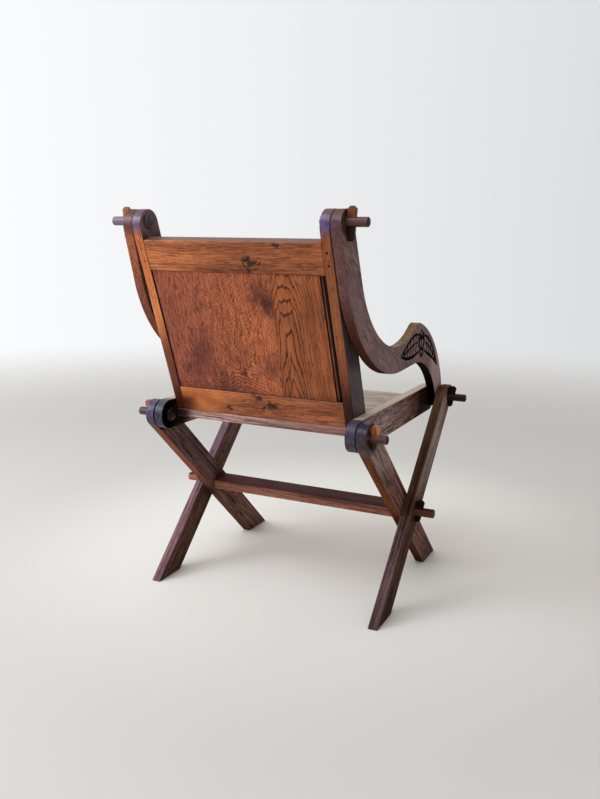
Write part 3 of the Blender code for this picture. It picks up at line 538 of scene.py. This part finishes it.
def wild_board(oak):
    """The panel's wide board: reddish, with a restless figure, an eddy and dark spots."""
    board = oak.vector('ADD', oak.board, oak.drift(oak.board, 17.0, 8.0, 0.016))
    width, _, length = oak.parts(board)
    ragged = oak.noise(oak.stretched(oak.board, 75.0, 34.0), 3.0, 0.55) - 0.5
    off = abs(width + 0.033)
    turn = length.step(-0.095, -0.055) * 1.6 - 0.4
    eddy = oak.knot((0.0686, 0.2683, 0.6902), 0.018)
    year = ((off * turn - length) / 0.0085 + ragged * 2.6 + eddy * 2.6).fraction()
    bold = 0.35 + off.step(0.090, 0.030) * (0.45 + length.step(-0.05, -0.09) * 0.20)
    rows = oak.pores(year, board, 0.40, 0.5) * bold
    colour = oak.timber((rows, year, board), (0.680, 0.190, 0.066), (0.270, 0.068, 0.031), (0.026, 0.009, 0.007),
                        contrast=1.5, streak=0.4, row=0.90, fleck=0.75, grain=(400.0, 40.0))
    spots = (((-0.0517, 0.2658, 0.6838), 0.031, 1.0), ((-0.0608, 0.2563, 0.6589), 0.017, 1.0),
             ((0.1144, 0.2165, 0.5555), 0.030, 0.75), ((0.1361, 0.1999, 0.5121), 0.030, 0.75),
             ((0.0780, 0.1856, 0.4748), 0.034, 0.75), ((-0.0487, 0.2071, 0.5309), 0.022, 0.75))
    for place, size, strength in spots:
        colour = oak.stained(colour, oak.knot(place, size) * strength, (0.36, 0.33, 0.50))
    return oak.stained(colour, oak.x.step(0.02, 0.13) * 0.7, (0.66, 0.60, 0.90))


def peaked_board(oak):
    """The panel's narrow board: orange, with a figure that rises in points."""
    board = oak.vector('ADD', oak.board, oak.drift(oak.board, 26.0, 8.0, 0.0025))
    width, _, length = oak.parts(board)
    off = abs(width - length * 0.06 - 0.0955)
    flat = length.step(-0.05, 0.05) * 0.012
    jagged = oak.noise(oak.stretched(oak.board, 95.0, 12.0), 2.0, 0.5) - 0.5
    side = (off - flat).at_least(0.0) / 0.0125 + (off - 0.022).at_least(0.0) * 75.0
    rise = length * 21.0 + (length - 0.055).at_least(0.0) * 16.0
    year = (rise + side + jagged * 1.3 - 0.15).fraction()
    rows = oak.pores(year, board, 0.26, 0.2) * (1.0 - off.step(0.024, 0.060) * 0.55)
    return oak.timber((rows, year, board), (0.480, 0.132, 0.040), (0.210, 0.056, 0.021), (0.014, 0.005, 0.004),
                      streak=0.5, row=0.95, grain=(340.0, 11.0))


def panel_oak():
    """Two boards that meet on a slant; painted shade darkens the gaps where the panel has shrunk from its frame,
    and a line along the field's step.
    """
    oak = Oak("panel_oak", UP_THE_BACK, OUT_OF_THE_BACK, Vector((0.0, 0.225, 0.5965)))
    wild = wild_board(oak)
    peaked = peaked_board(oak)
    joint = oak.width - oak.length * 0.06
    colour = oak.mix(joint.step(0.0665, 0.0685), wild, peaked)
    colour = oak.clouded(colour, 0.5, (0.55, 0.50, 0.60), low=0.46, size=(12.0, 8.0))
    colour = oak.stained(colour, oak.length.step(-0.112, -0.134) * 0.7, (0.50, 0.46, 0.60))
    # Painted shade, near black: a line along the field's step, the panel's side faces, and strips of the tongue
    # where the gaps would show shadow.
    step_shadow_line = abs(oak.x + 0.1803).step(0.0011, 0.0006)
    gap = abs(oak.dot(oak.normal, ACROSS)).step(0.45, 0.85).at_least(step_shadow_line)
    gap = gap.at_least(oak.x.step(-0.1836, -0.1843)).at_least(oak.x.step(0.1890, 0.1900))
    colour = oak.stained(colour, gap * 0.98, (0.015, 0.015, 0.015))
    return oak.waxed(colour, 0.32, 0.16)


def seat_oak():
    """Seat board: pale on top, partly a painted sheen, with a brown edge that has painted shade, near black, beside
    the left knuckle.
    """
    oak = Oak("seat_oak", ACROSS, UPRIGHT, Vector((0.0, -0.05, 0.41)))
    figure = oak.figure((0.02, 0.06), 0.0036, tilt=0.03)
    top = oak.timber(figure, (0.520, 0.380, 0.265), (0.270, 0.180, 0.120), (0.050, 0.028, 0.018))
    edge = oak.timber(figure, (0.780, 0.455, 0.385), (0.200, 0.088, 0.072), (0.030, 0.014, 0.012), contrast=1.3,
                      grain=(340.0, 5.0))
    # Painted shade, near black, on the edge beside the left knuckle.
    edge = oak.stained(edge, oak.x.step(0.166, 0.194) * 0.97, (0.05, 0.05, 0.05))
    edge = oak.stained(edge, oak.x.step(0.10, -0.12) * 0.9, (0.42, 0.32, 0.29))
    # The pale top stands partly for a painted sheen.
    colour = oak.mix(oak.facing(UPRIGHT), edge, top)
    colour = oak.clouded(colour, 0.6, (0.60, 0.55, 0.56))
    return oak.waxed(colour, 0.40, 0.25)


def plain_oak(oak, light, dark, ring=0.0035):
    """The quiet figure of the smaller pieces."""
    colour = oak.timber(oak.figure((0.02, 0.06), ring, tilt=0.03), light, dark, BROWN_PORE)
    return oak.clouded(colour, 0.6, (0.55, 0.50, 0.52))


def stretcher_oak():
    """Stretcher: reddish, with painted shade on top under the seat, and duller at the right tenon."""
    oak = Oak("stretcher_oak", ACROSS, UPRIGHT, CROSSING)
    colour = plain_oak(oak, (0.490, 0.198, 0.132), (0.140, 0.052, 0.036), 0.0036)
    colour = oak.worn(colour, (0.34, 0.13, 0.07))
    # Painted shade on the top face, under the seat.
    colour = oak.stained(colour, oak.facing(UPRIGHT), (0.38, 0.27, 0.42))
    colour = oak.stained(colour, oak.x.step(-0.26, -0.28), (0.50, 0.46, 0.44))
    return oak.waxed(colour, 0.38, 0.05)


def at_top_pins(oak):
    """1 at the top pins and 0 at the lower ones."""
    return oak.height.step(0.6, 0.7)


def pin_oak():
    """Pins: dark on their ends, on their heads and in front; the left top one has a painted lilac highlight along
    its sides.
    """
    oak = Oak("pin_oak", ACROSS, UPRIGHT, Vector((0.25, 0.0, 0.5)), paired=True)
    colour = plain_oak(oak, (0.170, 0.062, 0.048), (0.050, 0.019, 0.015))
    high = at_top_pins(oak)
    front = oak.y.step(-0.15, -0.20)
    end = oak.outward.step(0.25, 0.6)
    head = abs(oak.x).step(0.2132, 0.2122)
    # Painted highlight: lilac along the top left pin's sides.
    colour = oak.mix(high * oak.left * (1.0 - end) * 0.6, colour, (0.300, 0.200, 0.290))
    colour = oak.stained(colour, front * 0.9, (0.18, 0.16, 0.16))
    colour = oak.stained(colour, end * 0.9, (0.26, 0.22, 0.22))
    colour = oak.stained(colour, head * (0.90 - high * 0.22), (0.14, 0.13, 0.16))
    polish = 0.35 * (1.0 - head * 0.7) * (1.0 - end) * (1.0 - front * 0.7)
    return oak.waxed(colour, 0.40, 0.1, polish)


def pale_key_oak():
    """Keys of the top and rear pins: golden, with painted shade below the pin, and browner at the top right."""
    oak = Oak("pale_key_oak", UPRIGHT, ALONG_SEAT, Vector((0.25, 0.24, 0.6)), paired=True)
    colour = plain_oak(oak, (0.500, 0.178, 0.066), (0.200, 0.064, 0.026))
    colour = oak.worn(colour, (0.46, 0.18, 0.08))
    high = at_top_pins(oak)
    colour = oak.stained(colour, oak.right * high, (0.50, 0.40, 0.33))
    pin = high * (TOP_PIVOT.z - REAR_PIVOT.z) + REAR_PIVOT.z
    # Painted shade below the pin.
    colour = oak.stained(colour, (oak.height - pin).step(0.004, -0.004) * 0.95, (0.08, 0.06, 0.07))
    return oak.waxed(colour, 0.38, 0.2)


def dark_key_oak():
    """Keys of the front pins and of the stretcher, nearly black."""
    oak = Oak("dark_key_oak", UPRIGHT, ALONG_SEAT, Vector((0.28, -0.2, 0.3)), paired=True)
    colour = plain_oak(oak, (0.022, 0.011, 0.008), (0.008, 0.004, 0.003))
    colour = oak.worn(colour, (0.05, 0.024, 0.016))
    return oak.waxed(colour, 0.38, 0.0, 0.06)


def peg_oak():
    """Pegs as golden as the left stile; the pair at the top right has gone dark."""
    oak = Oak("peg_oak", OUT_OF_THE_BACK, ACROSS, Vector((0.2, 0.2, 0.6)), paired=True)
    colour = oak.timber(oak.figure((0.02, 0.06), 0.0012), (0.640, 0.200, 0.064), (0.300, 0.090, 0.030), BROWN_PORE)
    colour = darkened_toward_seat(oak, colour)
    colour = oak.stained(colour, oak.right * oak.height.step(0.60, 0.70) * 0.95, (0.14, 0.13, 0.15))
    return oak.waxed(colour, 0.40, 0.1)


finishes = {
    'inner_leg': leg_oak(
        "inner_leg_oak", ALONG_INNER_LEG, Vector((0.2466, -0.03, 0.20)),
        light=(0.370, 0.180, 0.142), dark=(0.024, 0.010, 0.008), rear=(0.440, 0.145, 0.070),
        left_edge=(UNSTAINED, (0.34, 0.42, 0.48)),
        right_edge=((0.480, 0.412, 0.245), (0.29, 0.24, 0.14)),
        left_face=((0.74, 0.86, 1.00), UNSTAINED), right_face=(UNSTAINED, UNSTAINED),
        pale=(0.28, 0.40), contrast=1.5, shift=0.0),
    'outer_leg': leg_oak(
        "outer_leg_oak", ALONG_OUTER_LEG, Vector((0.2690, -0.07, 0.20)),
        light=(0.300, 0.165, 0.140), dark=(0.034, 0.016, 0.012), rear=(0.430, 0.215, 0.235),
        left_edge=((0.62, 0.73, 0.84), (0.94, 0.94, 1.00)),
        right_edge=((0.42, 0.37, 0.18), (0.37, 0.38, 0.36)),
        left_face=(UNSTAINED, (0.68, 0.61, 0.50)), right_face=(UNSTAINED, (0.50, 0.43, 0.35)),
        pale=(0.21, 0.43), contrast=1.3, shift=0.4),
    'seat_rail': seat_rail_oak(),
    'arm': arm_oak(),
    'stile': stile_oak(),
    'back_rail': back_rail_oak(),
    'panel': panel_oak(),
    'seat_board': seat_oak(),
    'stretcher': stretcher_oak(),
    'pin': pin_oak(),
    'pale_key': pale_key_oak(),
    'dark_key': dark_key_oak(),
    'peg': peg_oak(),
}


# Pieces that keep the shape of their CAD solid

FINISH_OF_KIND = (("back_stile", 'stile'), ("back_panel", 'panel'), ("back_", 'back_rail'), ("top_key", 'pale_key'),
                  ("rear_key", 'pale_key'), ("_key", 'dark_key'), ("inner_leg", 'inner_leg'),
                  ("outer_leg", 'outer_leg'), ("seat_rail", 'seat_rail'), ("seat_board", 'seat_board'),
                  ("stretcher", 'stretcher'), ("pin", 'pin'), ("arm", 'arm'))
SHARP_EDGE = math.radians(50)
WELD_DISTANCE = 1e-6

record = frame["record"]
body_of_node = {node: body for body, nodes in record["behaviour"]["bodies"].items() for node in nodes}


def add_object(name, data):
    """A new object in the scene."""
    made = bpy.data.objects.new(name, data)
    bpy.context.scene.collection.objects.link(made)
    return made


def applied(draft, name):
    """The plain piece that a draft's modifiers make. The draft is taken away."""
    graph = bpy.context.evaluated_depsgraph_get()
    made = draft.evaluated_get(graph)
    mesh = bpy.data.meshes.new_from_object(made, preserve_all_data_layers=True, depsgraph=graph)
    bpy.data.objects.remove(draft, do_unlink=True)
    mesh.name = name
    return add_object(name, mesh)


def merged(node):
    """A copy of a CAD node's mesh with its triangles joined, as a bmesh."""
    build = bmesh.new()
    build.from_mesh(frame["nodes"][node].data)
    bmesh.ops.remove_doubles(build, verts=build.verts, dist=WELD_DISTANCE)
    return build


def finished(build, node, name):
    """Turns a bmesh into a smooth-edged piece that stands for a CAD node."""
    mesh = bpy.data.meshes.new(name + "_draft")
    build.to_mesh(mesh)
    build.free()
    mesh.materials.clear()
    mesh.materials.append(finish_for(node))
    mesh.shade_smooth()
    mesh.set_sharp_from_angle(angle=SHARP_EDGE)
    draft = add_object(name + "_draft", mesh)
    even = draft.modifiers.new("even_normals", 'WEIGHTED_NORMAL')
    even.keep_sharp = True
    even.weight = 80
    piece = applied(draft, name)
    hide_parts(node)
    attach(piece, body_of_node[node])


def finish_for(node):
    """The finish of the first kind of piece that a node's name holds."""
    return finishes[next(finish for kind, finish in FINISH_OF_KIND if kind in node)]


# Carving on the arms: a winged bud, drawn in the side view as strokes of (Y, Z) points and widths

GOUGE = 0.0058
BUD_Y = -0.1402
CARVING_STEP = 0.0008
CARVING_DEPTH = 0.0016
FLAT_ROUND_CUT = 0.0016
CARVING_MARGIN = 0.008


def bezier(points, count=12):
    """A smooth stroke through a run of control points."""
    made = []
    for i in range(count + 1):
        t = i / count
        row = [Vector(point) for point in points]
        while len(row) > 1:
            row = [a.lerp(b, t) for a, b in zip(row, row[1:])]
        made.append(row[0])
    return made


def wing(upper, lower, width):
    """A wing between its leading and trailing edges, with two rows of feathers: strokes as (points, width)."""
    top = bezier(upper, 24)
    bottom = bezier(lower, 24)

    def between(t, share):
        place = min(max(t, 0.0), 1.0) * 24
        low = min(23, int(place))
        a = top[low].lerp(top[low + 1], place - low)
        b = bottom[low].lerp(bottom[low + 1], place - low)
        return a.lerp(b, share)

    strokes = [(top, width * 1.2), (bottom, width * 1.3)]
    strokes.append(([between(0.04 + 0.84 * i / 16, 0.42) for i in range(17)], width * 0.8))
    for i in range(5):
        t = 0.08 + i * 0.165
        long_feather = [between(t, 0.44), between(t + 0.09, 0.66), between(t + 0.13, 0.94)]
        short_feather = [between(t + 0.02, 0.06), between(t + 0.08, 0.20), between(t + 0.10, 0.38)]
        strokes += [(long_feather, width * 0.85), (short_feather, width * 0.75)]
    return strokes


def half_bud(sweep):
    """The leaves on one side of the bud: strokes as (points, width)."""
    def at(dy, z):
        return Vector((BUD_Y + sweep * dy, z))

    upper = bezier((at(0.002, 0.573), at(0.012, 0.582), at(0.020, 0.580), at(0.020, 0.570)))
    middle = bezier((at(0.003, 0.570), at(0.020, 0.572), at(0.022, 0.556), at(0.009, 0.547)))
    lower = bezier((at(0.001, 0.543), at(0.013, 0.548), at(0.016, 0.535), at(0.005, 0.529)))
    return [(upper, GOUGE * 1.3), (middle, GOUGE * 1.9), (lower, GOUGE * 1.3)]


def winged_bud():
    """All strokes of the carving."""
    strokes = wing(((-0.116, 0.580), (-0.085, 0.585), (-0.042, 0.562), (-0.006, 0.542)),
                   ((-0.121, 0.541), (-0.085, 0.531), (-0.045, 0.528), (-0.006, 0.542)), GOUGE)
    strokes += wing(((-0.165, 0.572), (-0.194, 0.570), (-0.234, 0.535), (-0.260, 0.492)),
                    ((-0.161, 0.539), (-0.190, 0.524), (-0.213, 0.524), (-0.260, 0.492)), GOUGE)
    strokes.append(([Vector((-0.1395, 0.5870)), Vector((-0.1398, 0.5840))], 0.0125))
    strokes.append(([Vector((-0.1400, 0.572)), Vector((-0.1405, 0.541))], GOUGE * 0.9))
    strokes += half_bud(1) + half_bud(-1)
    strokes.append(([Vector((-0.1405, 0.536)), Vector((-0.1405, 0.524))], GOUGE * 1.1))
    return strokes


def stroke_depths(points, strokes):
    """How deep the gouge cuts at each point (0 to 1), and how far each point is from a cut."""
    depth = np.zeros(len(points))
    clear = np.full(len(points), 1.0)
    for path, width in strokes:
        knots = np.array([tuple(point) for point in path])
        low = knots.min(0) - 0.006
        high = knots.max(0) + 0.006
        near = np.all((points > low) & (points < high), axis=1)
        spots = points[near]
        total = len(knots) - 1
        best_depth = np.zeros(len(spots))
        best_clear = np.full(len(spots), 1.0)
        for i, (a, b) in enumerate(zip(knots, knots[1:])):
            run = b - a
            share = np.clip(((spots - a) @ run) / max(run @ run, 1e-12), 0, 1)
            gap = np.linalg.norm(spots - a - share[:, None] * run, axis=1)
            along = (i + share) / total
            half = width / 2 * (0.55 + 0.45 * np.sin(np.pi * np.clip(along, 0.0, 1.0)) ** 0.6)
            best_depth = np.maximum(best_depth, np.clip(1.25 * (1 - gap / half), 0, 1) * (half / 0.0016) ** 0.5)
            best_clear = np.minimum(best_clear, gap - half)
        depth[near] = np.maximum(depth[near], best_depth)
        clear[near] = np.minimum(clear[near], best_clear)
    return np.clip(depth, 0, 1.2), clear


def inside(point, loop):
    """Whether a point lies inside a closed loop of points."""
    hit = False
    for a, b in zip(loop, loop[1:] + loop[:1]):
        if (a[1] > point[1]) != (b[1] > point[1]):
            if point[0] < a[0] + (point[1] - a[1]) * (b[0] - a[0]) / (b[1] - a[1]):
                hit = not hit
    return hit


def ordered_loops(edges):
    """Closed runs of vertices along boundary edges."""
    left = dict.fromkeys(edges)
    loops = []
    while left:
        edge = next(iter(left))
        first, last = edge.verts
        loop = [first, last]
        del left[edge]
        while loop[-1] != first:
            edge = next(e for e in loop[-1].link_edges if e in left)
            del left[edge]
            loop.append(edge.other_vert(loop[-1]))
        loops.append(loop[:-1])
    return loops


def gouged_grid():
    """A fine grid over the carving: its points, how deep each is cut, and the squares that a cut touches."""
    strokes = winged_bud()
    marks = np.array([tuple(point) for path, _ in strokes for point in path])
    low = marks.min(0) - CARVING_MARGIN
    count = np.ceil((marks.max(0) + CARVING_MARGIN - low) / CARVING_STEP).astype(int) + 1
    grid_y, grid_z = np.meshgrid(np.arange(count[0]), np.arange(count[1]), indexing='ij')
    spots = np.stack((low[0] + grid_y * CARVING_STEP, low[1] + grid_z * CARVING_STEP), -1)
    depth, clear = stroke_depths(spots.reshape(-1, 2), strokes)
    near = clear.reshape(count) < FLAT_ROUND_CUT
    squares = near[:-1, :-1] | near[1:, :-1] | near[:-1, 1:] | near[1:, 1:]
    return spots, depth.reshape(count), squares


def triangles_around(loops, border, corners, spots, squares):
    """The flat rest of the face, between its outline and the carved squares, as runs of three vertices."""
    outlines = [[(vert.co.y, vert.co.z) for vert in loop] for loop in loops]
    outer = max(outlines, key=lambda loop: max(p[0] for p in loop) - min(p[0] for p in loop))
    holes = [loop for loop in outlines if loop is not outer]
    owners = [vert for loop in loops for vert in loop]
    flat_points = [Vector(point) for loop in outlines for point in loop]
    edges = []
    start = 0
    for loop in loops:
        edges += [(start + k, start + (k + 1) % len(loop)) for k in range(len(loop))]
        start += len(loop)
    place = {}
    for pair in border:
        for spot in pair:
            if spot not in place:
                place[spot] = len(owners)
                owners.append(corners[spot])
                flat_points.append(Vector(spots[spot]))
        edges.append(tuple(place[spot] for spot in pair))

    points, _, triangles, sources, _, _ = geometry.delaunay_2d_cdt(flat_points, edges, [], 0, 1e-7)
    kept = []
    for triangle in triangles:
        middle = sum((points[k] for k in triangle), Vector((0.0, 0.0))) / 3
        i, j = ((np.array(middle) - spots[0, 0]) / CARVING_STEP).astype(int)
        carved = 0 <= i < squares.shape[0] and 0 <= j < squares.shape[1] and squares[i, j]
        if carved or not inside(middle, outer) or any(inside(middle, hole) for hole in holes):
            continue
        verts = [owners[sources[k][0]] for k in triangle]
        a, b, c = (points[k] for k in triangle)
        kept.append(verts if (b - a).cross(c - a) >= 0 else verts[::-1])
    return kept


def carve(build, side):
    """Swaps the arm's flat outer face for one with the winged bud cut into it."""
    layer = build.verts.layers.float.new("carved")
    build.normal_update()
    flat = [face for face in build.faces if face.normal.x * side > 0.998]
    chosen = set(flat)
    rim = [edge for edge in build.edges if sum(face in chosen for face in edge.link_faces) == 1]
    outward = sum((face.normal * face.calc_area() for face in flat), Vector()).normalized()
    base = flat[0].verts[0].co.copy()
    loops = ordered_loops(rim)
    bmesh.ops.delete(build, geom=flat, context='FACES')
    spots, depth, squares = gouged_grid()
    corners = {}

    def corner(i, j):
        if (i, j) not in corners:
            y, z = spots[i, j]
            x = base.x - (outward.y * (y - base.y) + outward.z * (z - base.z)) / outward.x
            vert = build.verts.new(Vector((x, y, z)) - outward * (depth[i, j] * CARVING_DEPTH))
            vert[layer] = depth[i, j]
            corners[i, j] = vert
        return corners[i, j]

    def face(verts):
        build.faces.new(verts if side > 0 else verts[::-1])

    border = set()
    for i, j in zip(*np.nonzero(squares)):
        ring = [(i, j), (i + 1, j), (i + 1, j + 1), (i, j + 1)]
        face([corner(*spot) for spot in ring])
        for pair in zip(ring, ring[1:] + ring[:1]):
            border ^= {frozenset(pair)}
    for verts in triangles_around(loops, border, corners, spots, squares):
        face(verts)


# Pegs

PEG_RADIUS = 0.0024
PEG_LENGTH = 0.012
PEG_SIDES = 9
PEG_TAPER = 0.8
UNDER_FLUSH = 0.0002


def tree_of_pegs(material):
    """Geometry Nodes: a tapered, many-sided peg at each point, each turned a little differently."""
    group = bpy.data.node_groups.new("riven_pegs", 'GeometryNodeTree')
    group.interface.new_socket("Geometry", in_out='INPUT', socket_type='NodeSocketGeometry')
    for name in ("Radius", "Length", "Lean"):
        group.interface.new_socket(name, in_out='INPUT', socket_type='NodeSocketFloat')
    group.interface.new_socket("Geometry", in_out='OUTPUT', socket_type='NodeSocketGeometry')

    tree = Tree(group)
    given = tree.make('NodeGroupInput').outputs
    points, radius, length, lean = (Wire(tree, given[name]) for name in ("Geometry", "Radius", "Length", "Lean"))
    peg = tree.node('GeometryNodeMeshCone', {}, {'Vertices': PEG_SIDES, 'Radius Top': radius, 'Depth': length,
                                                 'Radius Bottom': radius * PEG_TAPER}, 'Mesh')
    sunk = tree.joined(0.0, 0.0, length * -1.0)
    peg = tree.node('GeometryNodeTransform', {}, {'Geometry': peg, 'Translation': sunk})
    tip = tree.joined((lean + math.pi / 2) * -1.0, 0.0, 0.0)
    inputs = {'Points': points, 'Instance': peg, 'Rotation': tip}
    placed = tree.node('GeometryNodeInstanceOnPoints', {}, inputs)
    twist = tree.node('FunctionNodeRandomValue', {'data_type': 'FLOAT'}, {2: 0.0, 3: 2.0, 'Seed': 4}, 1)
    inputs = {'Instances': placed, 'Rotation': tree.joined(0.0, 0.0, twist)}
    placed = tree.node('GeometryNodeRotateInstances', {}, inputs)
    real = tree.node('GeometryNodeRealizeInstances', {}, {'Geometry': placed})
    painted = tree.node('GeometryNodeSetMaterial', {}, {'Geometry': real, 'Material': material})
    tree.make('NodeGroupOutput', {}, {'Geometry': painted})
    return group


def drawbore_pegs():
    """The eight pegs that lock the back's tenons, cut off just under the stiles' rear faces."""
    pegs = [node for node in frame["nodes"] if node.startswith("peg")]
    ends = []
    for node in pegs:
        low, high = (Vector(corner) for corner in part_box(node))
        points = [vertex.co for vertex in frame["nodes"][node].data.vertices]
        middle = (low + high) / 2
        reach = max(point.dot(OUT_OF_THE_BACK) for point in points) - middle.dot(OUT_OF_THE_BACK)
        ends.append(middle + OUT_OF_THE_BACK * (reach - UNDER_FLUSH))
    mesh = bpy.data.meshes.new("peg_ends")
    mesh.from_pydata(ends, [], [])
    draft = add_object("peg_ends", mesh)
    rule = draft.modifiers.new("riven_pegs", 'NODES')
    rule.node_group = tree_of_pegs(finishes['peg'])
    sizes = {"Radius": PEG_RADIUS, "Length": PEG_LENGTH, "Lean": LEAN}
    for socket in rule.node_group.interface.items_tree:
        if socket.name in sizes:
            rule[socket.identifier] = sizes[socket.name]
    piece = applied(draft, "drawbore_pegs")
    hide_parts(*pegs)
    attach(piece, "back")


drawbore_pegs()
for node in frame["nodes"]:
    if node.startswith("peg"):
        continue
    build = merged(node)
    if node.startswith("arm"):
        carve(build, 1 if node.endswith("left") else -1)
        finished(build, node, node + "_carved")
    else:
        finished(build, node, node + "_oak")


# Floor, light and camera

WINDOW_SIDE = Vector((0.904, 0.427, 0.0))
BEHIND_THE_CHAIR = Vector((0.427, -0.904, 0.0))
CAMERA_PLACE = Vector((-0.7962, 1.6617, 0.7940))
CAMERA_TURN = math.radians(25.298)
CAMERA_DIP = math.radians(11.284)
CAMERA_ROLL = math.radians(0.718)
CAMERA_LENS = 36.86
FLOOR_RADIUS = 6.0
FLOOR_DROP = 0.0005


def pale_floor():
    """A pale floor that fades into the room, with a painted pool of light round the chair's front."""
    build = bmesh.new()
    bmesh.ops.create_circle(build, cap_ends=True, segments=96, radius=FLOOR_RADIUS)
    mesh = bpy.data.meshes.new("floor")
    build.to_mesh(mesh)
    build.free()
    floor = add_object("floor", mesh)
    floor.location.z = -FLOOR_DROP
    finish = Finish("pale_floor")
    spot = finish.node('ShaderNodeTexCoord', output='Object')
    # Painted light: the floor is paler in a pool round the chair's front.
    light_pool = finish.size(finish.vector('SUBTRACT', spot, (0.0, -0.25, 0.0))).step(0.30, 1.0)
    finish.set(Base_Color=finish.mix(light_pool, (0.84, 0.785, 0.71), (0.62, 0.58, 0.53)), Roughness=0.75)
    solid = Wire(finish, finish.shader.outputs[0])
    clear = finish.node('ShaderNodeBsdfTransparent')
    far = finish.size(spot).step(1.6, 4.5)
    faded = finish.node('ShaderNodeMixShader', {}, {0: far, 1: solid, 2: clear})
    finish.feed(finish.nodes.nodes["Material Output"].inputs[0], faded)
    mesh.materials.append(finish.material)


def soft_light(name, place, aim, size, power, colour):
    """A wide lamp, aimed at a place."""
    light = bpy.data.lights.new(name, 'AREA')
    light.shape = 'RECTANGLE'
    light.size, light.size_y = size
    light.energy = power
    light.color = colour
    lamp = add_object(name, light)
    lamp.location = place
    lamp.rotation_euler = (Vector(aim) - Vector(place)).to_track_quat('-Z', 'Y').to_euler()


def studio():
    """A pale room, brighter behind the chair and on the window's side, with light from a window and from above."""
    world = bpy.data.worlds.new("studio")
    bpy.context.scene.world = world
    world.use_nodes = True
    room = Tree(world.node_tree)
    look = room.node('ShaderNodeTexCoord', output='Generated')
    wall = room.dot(look, BEHIND_THE_CHAIR).step(-0.4, 0.7)
    brightness = (0.86 + room.dot(look, WINDOW_SIDE) * 0.36) * (0.6 + wall * 0.4)
    sky = world.node_tree.nodes["Background"]
    room.feed(sky.inputs["Color"], (0.985, 0.99, 1.0))
    room.feed(sky.inputs["Strength"], brightness)
    soft_light("window", (2.6, 1.9, 2.2), (0.0, 0.0, 0.5), (1.9, 2.0), 75.0, (0.78, 0.88, 1.0))
    soft_light("skylight", (0.6, 1.6, 3.0), (0.0, 0.1, 0.5), (2.6, 1.6), 40.0, (0.82, 0.91, 1.0))


def camera():
    """The photograph's place and view."""
    level = math.cos(CAMERA_DIP)
    ahead = Vector((math.sin(CAMERA_TURN) * level, -math.cos(CAMERA_TURN) * level, -math.sin(CAMERA_DIP)))
    flat_right = Vector((-math.cos(CAMERA_TURN), -math.sin(CAMERA_TURN), 0.0))
    flat_up = flat_right.cross(ahead)
    right = flat_right * math.cos(CAMERA_ROLL) + flat_up * math.sin(CAMERA_ROLL)
    up = flat_up * math.cos(CAMERA_ROLL) - flat_right * math.sin(CAMERA_ROLL)
    lens = bpy.data.cameras.new("camera")
    lens.sensor_fit = 'AUTO'
    lens.sensor_width = 36.0
    lens.lens = CAMERA_LENS
    view = add_object("camera", lens)
    turned = Matrix((right, up, -ahead)).transposed().to_4x4()
    view.matrix_world = Matrix.Translation(CAMERA_PLACE) @ turned
    bpy.context.scene.camera = view


pale_floor()
studio()
camera()
bpy.context.scene.view_settings.view_transform = 'Standard'
